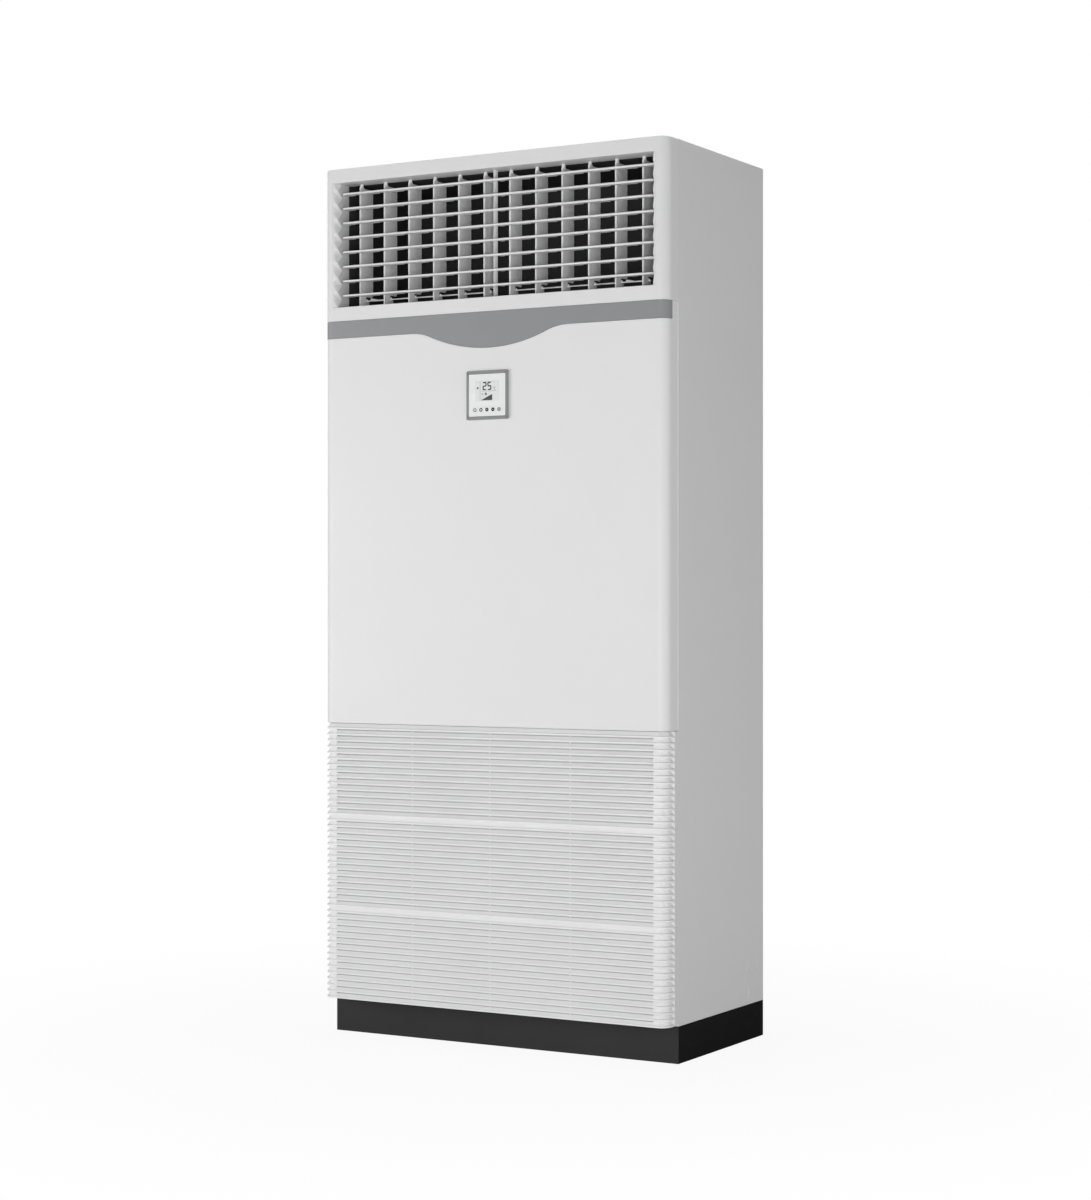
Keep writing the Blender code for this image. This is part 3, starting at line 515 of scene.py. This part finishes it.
def makeRib(name, top, pitch, slotted, gap=0.0):
    # starts as the lip, then the slope, the recess and the lip's underside are pulled from it
    lines = gridLines()
    cells = len(lines) - 1
    low, lip, depth, slot = top - pitch, grille["lip"], grille["depth"], grille["slot"]
    bpy.ops.mesh.primitive_grid_add(x_subdivisions=cells, y_subdivisions=1, size=1,
                                    location=(0, frontY, low + lip / 2), rotation=(math.pi / 2, 0, 0))
    rib = bpy.context.object
    rib.name = name
    rib.scale = (2 * flatX, lip, 1)
    applyPlace(rib)
    startEdit(rib, "VERT")
    # columns go to their places from the outside in, so that no two meet on the way
    old = [-flatX + 2 * flatX * i / cells for i in range(cells + 1)]
    for i in sorted(range(1, cells), key=lambda i: -abs(lines[i])):
        pick(rib, "VERT", lambda co: near(co.x, old[i]))
        shift(lines[i] - old[i], 0, 0)
    rise, into = grille["slope"]
    pick(rib, "EDGE", lambda co: near(co.z, low + lip))
    pull(0, into, rise)
    if slotted:
        pull(0, depth - into, pitch - slot - lip - rise)
        pull(0, 0, slot)
        # beside the slots the slope runs on up to the next lip
        pick(rib, "VERT", lambda co: near(co.z, top - slot) and abs(co.x) > slotReach + 1e-4)
        shift(0, 0, slot)
    else:
        pull(0, depth - into, pitch - gap - lip - rise)
    pick(rib, "EDGE", lambda co: near(co.z, low))
    pull(0, depth, 0)
    if slotted:
        pick(rib, "FACE", lambda co: near(co.z, top - slot / 2, 1e-4) and isOpening(co.x))
        bpy.ops.mesh.delete(type="FACE")
    endEdit()
    return rib


def wrapRibs(section, low):
    # each level of the ribs runs round the corner and back to a mitre at 45 degrees
    fade = frontY + grille["wrap"]
    depth = grille["depth"]
    for side in (1, -1):
        startEdit(section)
        pick(section, "EDGE", lambda co: near(co.x, side * flatX))
        bpy.ops.mesh.spin(steps=shape["cornerSteps"], angle=-side * math.pi / 2,
                          center=(side * flatX, cornerY, 0), axis=(0, 0, 1))
        pick(section, "EDGE", lambda co: co.x * side > flatX + 0.01 and near(co.y, cornerY, 1e-4))
        pull(0, fade - depth - cornerY, 0)
        for inset in (0.0, grille["slope"][1]):
            pick(section, "VERT", lambda co: near(co.y, fade - depth, 1e-4)
                 and near(co.x * side, sideX - inset, 1e-4))
            shift(0, depth - inset, 0)
        pick(section, "EDGE", lambda co: co.x * side > flatX + 0.01
             and near(co.y, fade - sideX + co.x * side, 1e-4))
        pull(0, 0, 0)
        bpy.ops.transform.resize(value=(0, 0, 1), center_override=(side * sideX, fade, low))
        pull(0, seamY - fade, 0)
        endEdit()


def makeGrilleSection(top, low, name, gap):
    pitch = (top - low) / grille["ribs"]
    first = makeRib("firstRib", top, pitch, False, gap)
    section = makeRib(name, top - pitch, pitch, True)
    addModifier(section, "ARRAY", count=grille["ribs"] - 1, use_relative_offset=False,
                use_constant_offset=True, constant_offset_displace=(0, 0, -pitch),
                use_merge_vertices=True, merge_threshold=1e-5)
    applyAll(section)
    deselectAll()
    first.select_set(True)
    section.select_set(True)
    bpy.context.view_layer.objects.active = section
    bpy.ops.object.join()
    startEdit(section, "VERT")
    bpy.ops.mesh.select_all(action="SELECT")
    bpy.ops.mesh.remove_doubles(threshold=1e-5)
    endEdit()
    wrapRibs(section, low)
    outwards(section)
    addModifier(section, "SOLIDIFY", thickness=grille["wall"], offset=-1)
    softEdges(section, grille["edge"], 1, 50)
    applyAll(section)
    smooth(section, 25)
    return section


def toneReturns(section):
    # the plain sides behind the mitres match the shell, and the mitres take the shell's darker colour as
    # painted shade
    fade = frontY + grille["wrap"]
    tonePart(section, "shellPaint", lambda co: co.y > fade
             or (abs(co.x) > flatX and near(co.y - fade, abs(co.x) - sideX, 3e-4)))


for node in grille["sections"]:
    lowest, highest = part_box(node)
    gap = grille["shadowGap"] if node == "intake_grille_upper" else 0.0
    section = makeGrilleSection(highest.z, lowest.z, "intakeGrille" + node.split("_")[-1].capitalize(), gap)
    finishPiece(section, look["grillePlastic"], "cabinet", [node])
    toneReturns(section)
print("intake grille done")


def copyNode(node):
    copy = bpy.data.objects.new(node + "_eased", frame["nodes"][node].data.copy())
    bpy.context.collection.objects.link(copy)
    startEdit(copy, "VERT")
    bpy.ops.mesh.select_all(action="SELECT")
    bpy.ops.mesh.remove_doubles(threshold=2e-6)
    bpy.ops.mesh.customdata_custom_splitnormals_clear()
    bpy.ops.mesh.dissolve_limited(angle_limit=math.radians(0.5))
    endEdit()
    return copy


def easeNode(node, body, finish, width, crisp=None):
    # copy of a CAD piece with its edges eased and its bends smoothed
    copy = copyNode(node)
    if width:
        softEdges(copy, width)
        applyAll(copy)
    if crisp:
        crease(copy, crisp)
    smooth(copy, 50 if crisp else 35)
    finishPiece(copy, look[finish], body, [node])
    return copy


# how far edges are eased
eased = {
    "sheet": 0.0003,
    "louvre": 0.0004,
    "rod": 0.0003,
    "face": 0.0002,
    "keypad": 0.0001,
    "plinthFace": 0.0004,       # depth of what counts as the plinth's front face
}


def easeShell():
    for node in ("side_panel_left", "side_panel_right", "back_panel", "top_panel"):
        easeNode(node, "cabinet", "shellPaint", eased["sheet"])
    # painted shade: the plinth's sides and back get the darker copy of its black
    for node in ("plinth_rear", "plinth_left", "plinth_right"):
        easeNode(node, "cabinet", "plinthPaintedShade", eased["sheet"])
    # the plinth's sides and back are painted darker than its front face, as painted shade
    front = easeNode("plinth_front", "cabinet", "plinthPaint", eased["sheet"])
    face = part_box("plinth_front")[0].y
    tonePart(front, "plinthPaintedShade", lambda co: co.y > face + eased["plinthFace"])


holder = {
    "cuts": 6,
    # share of the steps' depth that is kept, and how far they then come forward
    "left": (0.60, 0.0052),
    "right": (0.30, -0.0084),
    "reshaped": 0.045,          # only what lies in front of this is moved
    "bearingRoom": 0.004,       # what stays put round each blade's bearing
    "rollDepth": 0.035,         # the sloped faces in front of this become the roll
    "roll": 1.2,                # how round it is; 1 is a plain slope
    "lining": 0.0445,           # behind this the walls are lined in black
}
bearings = [joint["pos_m"] for joint in frame["record"]["behaviour"]["joints"]
            if joint["name"].startswith("blade_")]


def makeHolder(half):
    # the wall's sloped front becomes a roll that starts level with the frame
    node = "blade_holder_" + half
    keep, forward = holder[half]
    low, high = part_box(node)
    inner, outer = sorted((low.x, high.x), key=abs)
    piece = copyNode(node)
    startEdit(piece, "VERT")
    pick(piece, "VERT", lambda co: near(co.x, inner, 1e-4) and co.y < frontY + holder["reshaped"]
         and all(math.hypot(co.y - y, co.z - z) > holder["bearingRoom"] for x, y, z in bearings))
    bpy.ops.transform.resize(value=(1, keep, 1), center_override=(0, frontY, 0))
    shift(0, -forward, 0)
    # the inner face is filled anew, so that none of it is stretched across a bearing hole
    pick(piece, "FACE", lambda co: near(co.x, inner, 1e-4))
    bpy.ops.mesh.delete(type="FACE")
    pick(piece, "EDGE", lambda co: near(co.x, inner, 1e-4))
    bpy.ops.mesh.fill(use_beauty=True)
    bpy.ops.mesh.select_all(action="SELECT")
    bpy.ops.mesh.normals_make_consistent(inside=False)
    pick(piece, "FACE", lambda co: abs(inner) + 1e-4 < abs(co.x) < abs(outer) - 1e-4
         and co.y < frontY + holder["rollDepth"] and low.z + 1e-4 < co.z < high.z - 1e-4)
    bpy.ops.mesh.subdivide(number_cuts=holder["cuts"])
    for i in range(1, holder["cuts"] + 1):
        share = i / (holder["cuts"] + 1)
        pick(piece, "VERT", lambda co: near(co.x, outer + (inner - outer) * share, 1e-4))
        bpy.ops.transform.resize(value=(1, share ** holder["roll"], 1), center_override=(0, frontY, 0))
    lined = frontY + holder["lining"]
    bpy.ops.mesh.select_all(action="SELECT")
    bpy.ops.mesh.bisect(plane_co=(0, lined, 0), plane_no=(0, 1, 0))
    endEdit()
    crease(piece, lambda co: near(co.x, inner, 1e-4))
    smooth(piece, 50)
    finishPiece(piece, look["framePlastic"], "cabinet", [node])
    # painted shade: the walls' inner faces are painted darker than the frame
    tonePart(piece, "holderPaintedShade", lambda co: near(co.x, inner, 1e-4))
    tonePart(piece, "ductLining", lambda co: near(co.x, inner, 1e-4) and co.y > lined)


airFilter = {"lower": 0.006}    # its lower edge goes down behind the lowest slot


def makeFilter():
    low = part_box("air_filter")[0].z
    piece = copyNode("air_filter")
    startEdit(piece, "VERT")
    pick(piece, "VERT", lambda co: near(co.z, low, 1e-4))
    shift(0, 0, -airFilter["lower"])
    endEdit()
    smooth(piece)
    finishPiece(piece, look["filterWeave"], "cabinet", ["air_filter"])


def easeOutlet():
    makeHolder("left")
    makeHolder("right")
    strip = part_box("centre_strip")[1].x
    easeNode("centre_strip", "cabinet", "louvrePlastic", 0,
             crisp=lambda co: near(abs(co.x), strip, 1e-4))
    for half in ("left", "right"):
        for i in range(1, 7):
            name = f"vane_{half}_{i}"
            easeNode(name, name, "louvrePlastic", eased["louvre"])
        name = f"link_rod_{half}"
        easeNode(name, name, "louvrePlastic", eased["rod"])
    for i in range(1, 9):
        easeNode(f"blade_{i}", f"blade_{i}", "louvrePlastic", eased["louvre"])


easeShell()
easeOutlet()
makeFilter()
inside = {"base_pan": "shellPaint", "air_box": "ductLining"}
for node, finish in inside.items():
    frame["nodes"][node].material_slots[0].material = look[finish]
print("shell, plinth and louvres eased")


screws = {
    "radius": 0.0040,
    "proud": 0.0003,
    "edge": 0.0002,
    "recess": 0.0018,           # about the radius of the sunk middle
    "perSide": 6,
    "inFromEdge": 0.0090,
    "endRoom": 0.04,            # from the back's ends to the first and the last screw
}


def makeScrews():
    # flat heads along both edges of the back
    backLow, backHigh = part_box("back_panel")
    heads = []
    bpy.ops.mesh.primitive_cylinder_add(vertices=24, radius=screws["radius"], depth=2 * screws["proud"],
                                        location=(0, backHigh.y, 0), rotation=(math.pi / 2, 0, 0))
    screw = bpy.context.object
    applyPlace(screw)
    startEdit(screw, "FACE")
    pick(screw, "FACE", lambda co: co.y > backHigh.y + screws["proud"] * 0.9)
    bpy.ops.mesh.inset(thickness=screws["edge"])
    shift(0, screws["edge"] / 2, 0)
    bpy.ops.mesh.inset(thickness=screws["radius"] - screws["recess"])
    bpy.ops.mesh.inset(thickness=screws["edge"])
    shift(0, -screws["proud"], 0)
    endEdit()
    low, high = backLow.z + screws["endRoom"], backHigh.z - screws["endRoom"]
    for side in (-1, 1):
        for i in range(screws["perSide"]):
            copy = screw.copy()
            copy.data = screw.data.copy()
            bpy.context.collection.objects.link(copy)
            copy.location = (side * (backHigh.x - screws["inFromEdge"]), 0,
                             low + (high - low) * i / (screws["perSide"] - 1))
            heads.append(copy)
    bpy.data.objects.remove(screw)
    deselectAll()
    for piece in heads:
        piece.select_set(True)
    bpy.context.view_layer.objects.active = heads[0]
    bpy.ops.object.join()
    joined = bpy.context.object
    joined.name = "backScrews"
    applyPlace(joined)
    smooth(joined)
    finishPiece(joined, look["screwZinc"], "cabinet")


makeScrews()


def roundedPlate(name, width, height, centreX, centreZ, y, thickness, corner, edge, segments=6):
    # thin plate with round corners, its face at y
    bpy.ops.mesh.primitive_plane_add(size=1, location=(centreX, y, centreZ), rotation=(math.pi / 2, 0, 0))
    plate = bpy.context.object
    plate.name = name
    plate.scale = (width, height, 1)
    applyPlace(plate)
    startEdit(plate, "VERT")
    bpy.ops.mesh.select_all(action="SELECT")
    bpy.ops.mesh.bevel(offset=corner, segments=segments, affect="VERTICES")
    endEdit()
    addModifier(plate, "SOLIDIFY", thickness=thickness, offset=-1)
    if edge:
        softEdges(plate, edge, 3, 40)
    applyAll(plate)
    smooth(plate)
    return plate


def roundedRing(name, low, high, y, depth, sideWidth, endWidth, corner, edge):
    # upright rectangular ring with round outer corners, its face at y
    width, height, centreZ = high.x - low.x, high.z - low.z, (low.z + high.z) / 2
    bpy.ops.mesh.primitive_plane_add(size=1, location=(0, y, centreZ), rotation=(math.pi / 2, 0, 0))
    ring = bpy.context.object
    ring.name = name
    ring.scale = (width, height, 1)
    applyPlace(ring)
    startEdit(ring, "VERT")
    bpy.ops.mesh.select_all(action="SELECT")
    bpy.ops.mesh.bevel(offset=corner, segments=8, affect="VERTICES")
    bpy.ops.mesh.select_mode(type="FACE")
    bpy.ops.mesh.select_all(action="SELECT")
    bpy.ops.mesh.inset(thickness=sideWidth)
    bpy.ops.transform.resize(value=(1, 1, (height - 2 * endWidth) / (height - 2 * sideWidth)),
                             center_override=(0, y, centreZ))
    bpy.ops.mesh.delete(type="FACE")
    endEdit()
    addModifier(ring, "SOLIDIFY", thickness=depth, offset=-1)
    softEdges(ring, edge, 3, 40)
    applyAll(ring)
    smooth(ring)
    return ring


control = {
    "corner": 0.0034,
    "borderSide": 0.0055,
    "borderEnd": 0.0071,
    "edge": 0.0005,
    "rim": 0.0009,              # rim round the face, painted whiter as a highlight
    "rimRise": 0.0003,
    "rimSeat": 0.0002,          # how far it goes into the face
    "rimCorner": 0.0012,
    "rimEdge": 0.0001,
    "displayOver": 0.0004,      # the display covers its joint by this much
    "displayRise": 0.0001,      # and stands this far in front
    "displayPlate": 0.0004,
    "displayCorner": 0.0010,
    "displayEdge": 0.00008,
}
bezelLow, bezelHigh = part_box("control_bezel")
faceLow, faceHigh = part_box("control_face")
displayLow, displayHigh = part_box("display_window")
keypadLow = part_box("keypad")[0]
panelZ = (faceLow.z + faceHigh.z) / 2
markY = min(faceLow.y, displayLow.y) - control["displayRise"]


def makeControlPanel():
    bezel = roundedRing("controlBezel", bezelLow, bezelHigh, bezelLow.y, bezelHigh.y - bezelLow.y,
                        control["borderSide"], control["borderEnd"], control["corner"], control["edge"])
    finishPiece(bezel, look["bezelPlastic"], "cabinet", ["control_bezel"])
    easeNode("control_face", "cabinet", "facePlastic", eased["face"])
    easeNode("keypad", "cabinet", "facePlastic", eased["keypad"])
    rise = control["rimRise"]
    rim = roundedRing("faceRim", faceLow, faceHigh, faceLow.y - rise, rise + control["rimSeat"],
                      control["rim"], control["rim"], control["rimCorner"], control["rimEdge"])
    # painted highlight: the rim is painted whiter than the face
    finishPiece(rim, look["rimPaintedHighlight"], "cabinet")
    over = 2 * control["displayOver"]
    width, height = displayHigh.x - displayLow.x + over, displayHigh.z - displayLow.z + over
    display = roundedPlate("displayPlate", width, height, 0, (displayLow.z + displayHigh.z) / 2, markY,
                           control["displayPlate"], control["displayCorner"], control["displayEdge"], 3)
    finishPiece(display, look["displayGlass"], "cabinet", ["display_window"])


# Marks on the display, measured from the middle of the face
marks = {
    "proud": 0.00012,
    "seat": 0.0001,             # how far a bar goes into the display
    "disc": 0.0002,             # thickness of rings and discs
    "digit": {"width": 0.0094, "height": 0.0170, "stroke": 0.0026,
              "places": (-0.0104, 0.0012), "base": 0.0100},
    "wedge": {"left": -0.0128, "right": 0.0128, "base": -0.0108,
              "low": 0.0016, "high": 0.0120, "bars": 11},
    # bars, as left edge, lower edge, width and height
    "lines": ((-0.0168, -0.0118, 0.0007, 0.0385), (-0.0126, 0.0080, 0.0360, 0.0006)),
    "topLine": ((-0.0275, 0.0272, 0.0500, 0.0006),),
    "unit": ((0.0150, 0.0142, 0.0020, 0.0020), (0.0182, 0.0100, 0.0034, 0.0009),
             (0.0182, 0.0150, 0.0034, 0.0009), (0.0178, 0.0103, 0.0009, 0.0054)),
    # rings and discs, as name, x, z, outer and inner radius, and finish
    "rings": (("displayMode", -0.0222, 0.0150, 0.0022, 0, "inkMid"),
              ("displayFanLow", -0.0108, 0.0020, 0.0019, 0.0009, "inkPale"),
              ("displayFanHigh", -0.0026, 0.0024, 0.0026, 0.0006, "inkMid")),
}


def makeBar(x, z, width, height, cut=0.32):
    # flat bar with slanted corners, its lower left corner at x, z
    return roundedPlate("bar", width, height, x + width / 2, panelZ + z + height / 2, markY - marks["proud"],
                        marks["proud"] + marks["seat"], min(width, height) * cut, 0, 1)


def joinMarks(parts, name, finish):
    deselectAll()
    for part in parts:
        part.select_set(True)
    bpy.context.view_layer.objects.active = parts[0]
    if len(parts) > 1:
        bpy.ops.object.join()
    piece = bpy.context.object
    piece.name = name
    applyPlace(piece)
    finishPiece(piece, look[finish], "cabinet")


def makeDigits():
    digit = marks["digit"]
    w, h, s, base = digit["width"], digit["height"], digit["stroke"], digit["base"]
    half = h / 2
    strokes = {
        "top": (s * 0.4, h - s, w - 0.8 * s, s), "middle": (s * 0.4, half - s / 2, w - 0.8 * s, s),
        "bottom": (s * 0.4, 0, w - 0.8 * s, s), "upperLeft": (0, half + s * 0.1, s, half - s * 0.5),
        "upperRight": (w - s, half + s * 0.1, s, half - s * 0.5),
        "lowerLeft": (0, s * 0.4, s, half - s * 0.5), "lowerRight": (w - s, s * 0.4, s, half - s * 0.5),
    }
    two = ("top", "upperRight", "middle", "lowerLeft", "bottom")
    five = ("top", "upperLeft", "middle", "lowerRight", "bottom")
    parts = []
    for left, lit in zip(digit["places"], (two, five)):
        for key in lit:
            x, z, width, height = strokes[key]
            parts.append(makeBar(left + x, base + z, width, height))
    joinMarks(parts, "displayDigits", "inkDark")


def makeWedge():
    wedge = marks["wedge"]
    pitch = (wedge["right"] - wedge["left"]) / wedge["bars"]
    parts = []
    for i in range(wedge["bars"]):
        height = wedge["low"] + (wedge["high"] - wedge["low"]) * i / (wedge["bars"] - 1)
        parts.append(makeBar(wedge["left"] + i * pitch, wedge["base"], pitch * 0.9, height, 0.1))
    joinMarks(parts, "displayWedge", "inkDark")


def makeLines():
    # two lines, a line along the top, and the degree mark beside the number
    for key, name, finish in (("lines", "displayLines", "inkPale"), ("topLine", "displayTopLine", "inkFaint"),
                              ("unit", "displayUnit", "inkPale")):
        joinMarks([makeBar(*bar) for bar in marks[key]], name, finish)


def makeRing(name, x, z, outer, inner, y, finish):
    # flat ring or disc facing the front
    bpy.ops.mesh.primitive_circle_add(vertices=32, radius=outer, fill_type="NGON",
                                      location=(x, y, panelZ + z), rotation=(math.pi / 2, 0, 0))
    ring = bpy.context.object
    ring.name = name
    applyPlace(ring)
    if inner:
        startEdit(ring, "FACE")
        bpy.ops.mesh.select_all(action="SELECT")
        bpy.ops.mesh.inset(thickness=outer - inner)
        bpy.ops.mesh.delete(type="FACE")
        endEdit()
    addModifier(ring, "SOLIDIFY", thickness=marks["disc"], offset=-1)
    applyAll(ring)
    smooth(ring)
    finishPiece(ring, look[finish], "cabinet")


def makeIcons():
    y = markY - marks["proud"]
    for name, x, z, outer, inner, finish in marks["rings"]:
        makeRing(name, x, z, outer, inner, y, finish)


keys = {
    "pitch": 0.01445,
    "drop": -0.0302,
    "rise": 0.0001,
    "dot": 0.8,                 # share of the ring's inner radius
    # ring finish, outer radius, inner radius, and the finish of the dot in it
    "icons": (("inkMid", 0.0039, 0.0021, None), ("inkDark", 0.0039, 0.0019, None),
              ("inkBlack", 0.0039, 0.0011, None), ("inkBlack", 0.0039, 0.0011, None),
              ("inkMid", 0.0039, 0.0024, "inkPale")),
}


def makeKeys():
    y = keypadLow.y - keys["rise"]
    for i, (ring, outer, inner, dot) in enumerate(keys["icons"]):
        x = (i - 2) * keys["pitch"]
        makeRing(f"keyRing{i + 1}", x, keys["drop"], outer, inner, y, ring)
        if dot:
            makeRing(f"keyDot{i + 1}", x, keys["drop"], inner * keys["dot"], 0, y, dot)


makeControlPanel()
makeDigits()
makeWedge()
makeLines()
makeIcons()
makeKeys()
print("control panel done")


stage = {
    "floor": 14.0,
    "tones": (0.80, 0.82),
    "nearWash": 0.93,           # how white the floor is shown close to the object
    "washFrom": 0.6,
    "washTo": 1.7,
    "world": 0.07,
    "aim": 0.95,                # height that the lamps point at
}


def seenDirectly(tree):
    # 1 for what the camera, a reflection or a view through glass shows
    path = tree.nodes.new("ShaderNodeLightPath")
    out = path.outputs["Is Camera Ray"]
    for name in ("Is Glossy Ray", "Is Transmission Ray"):
        most = tree.nodes.new("ShaderNodeMath")
        most.operation = "MAXIMUM"
        tree.links.new(out, most.inputs[0])
        tree.links.new(path.outputs[name], most.inputs[1])
        out = most.outputs[0]
    return out


def makeFloor():
    bpy.ops.mesh.primitive_plane_add(size=stage["floor"], location=(0, 0, 0))
    floor = bpy.context.object
    floor.name = "studioFloor"
    material, tree, shader = newMaterial("studioFloor")
    place = tree.nodes.new("ShaderNodeTexCoord").outputs["Object"]
    darker, lighter = ((value,) * 3 for value in stage["tones"])
    tone = blendColours(tree, addNoise(tree, place, 2.0), darker, lighter)
    tree.links.new(tone, shader.inputs["Base Color"])
    shader.inputs["Roughness"].default_value = 0.9
    away = tree.nodes.new("ShaderNodeVectorMath")
    away.operation = "LENGTH"
    tree.links.new(place, away.inputs[0])
    wash = spread(tree, away.outputs["Value"], stage["washFrom"], stage["washTo"], stage["nearWash"], 1.0)
    share = tree.nodes.new("ShaderNodeMath")
    share.operation = "MULTIPLY"
    tree.links.new(seenDirectly(tree), share.inputs[0])
    tree.links.new(wash, share.inputs[1])
    glow = tree.nodes.new("ShaderNodeEmission")
    mix = tree.nodes.new("ShaderNodeMixShader")
    tree.links.new(share.outputs[0], mix.inputs["Fac"])
    tree.links.new(shader.outputs[0], mix.inputs[1])
    tree.links.new(glow.outputs[0], mix.inputs[2])
    tree.links.new(mix.outputs[0], tree.nodes["Material Output"].inputs["Surface"])
    floor.data.materials.append(material)


def makeWorld():
    world = bpy.data.worlds.new("studio")
    bpy.context.scene.world = world
    world.use_nodes = True
    tree = world.node_tree
    background = tree.nodes["Background"]
    background.inputs["Color"].default_value = (1, 1, 1, 1)
    strength = spread(tree, seenDirectly(tree), 0.0, 1.0, stage["world"], 1.0)
    tree.links.new(strength, background.inputs["Strength"])


# Lamps: bearing in degrees to the right of the object's front, distance and height, then the
# lamp's own width and height, and its power
lamps = {
    "keyLamp": (23, 5.2, 0.70, 3.0, 1.4, 109),
    "fillLamp": (-50, 5.2, 1.10, 3.0, 2.0, 115),
    "sideLamp": (75, 5.2, 1.00, 3.0, 2.0, 62),
    "backLamp": (208, 5.2, 1.60, 3.0, 2.0, 75),
    "topLamp": (0, 0.0, 4.20, 0.8, 0.4, 34),
}


def addLamp(name, bearing, away, height, width, tall, power):
    data = bpy.data.lights.new(name, "AREA")
    data.shape = "RECTANGLE"
    data.size = width
    data.size_y = tall
    data.energy = power
    lamp = bpy.data.objects.new(name, data)
    bpy.context.collection.objects.link(lamp)
    turn = math.radians(bearing)
    lamp.location = (away * math.sin(turn), -away * math.cos(turn), height)
    lamp.rotation_euler = (Vector((0, 0, stage["aim"])) - lamp.location).to_track_quat("-Z", "Y").to_euler()


view = {
    "place": (2.689, -4.655, 0.912),
    "turn": 29.92,
    "lens": 75.36,
    "sensor": 36,
    "shiftX": -0.0006,
    "shiftY": 0.0067,
}


def addCamera():
    data = bpy.data.cameras.new("camera")
    data.lens = view["lens"]
    data.sensor_width = view["sensor"]
    data.shift_x = view["shiftX"]
    data.shift_y = view["shiftY"]
    camera = bpy.data.objects.new("camera", data)
    bpy.context.collection.objects.link(camera)
    camera.location = view["place"]
    camera.rotation_euler = (math.pi / 2, 0, math.radians(view["turn"]))
    bpy.context.scene.camera = camera


makeFloor()
makeWorld()
for name, values in lamps.items():
    addLamp(name, *values)
addCamera()
bpy.context.scene.view_settings.view_transform = "Standard"

deselectAll()
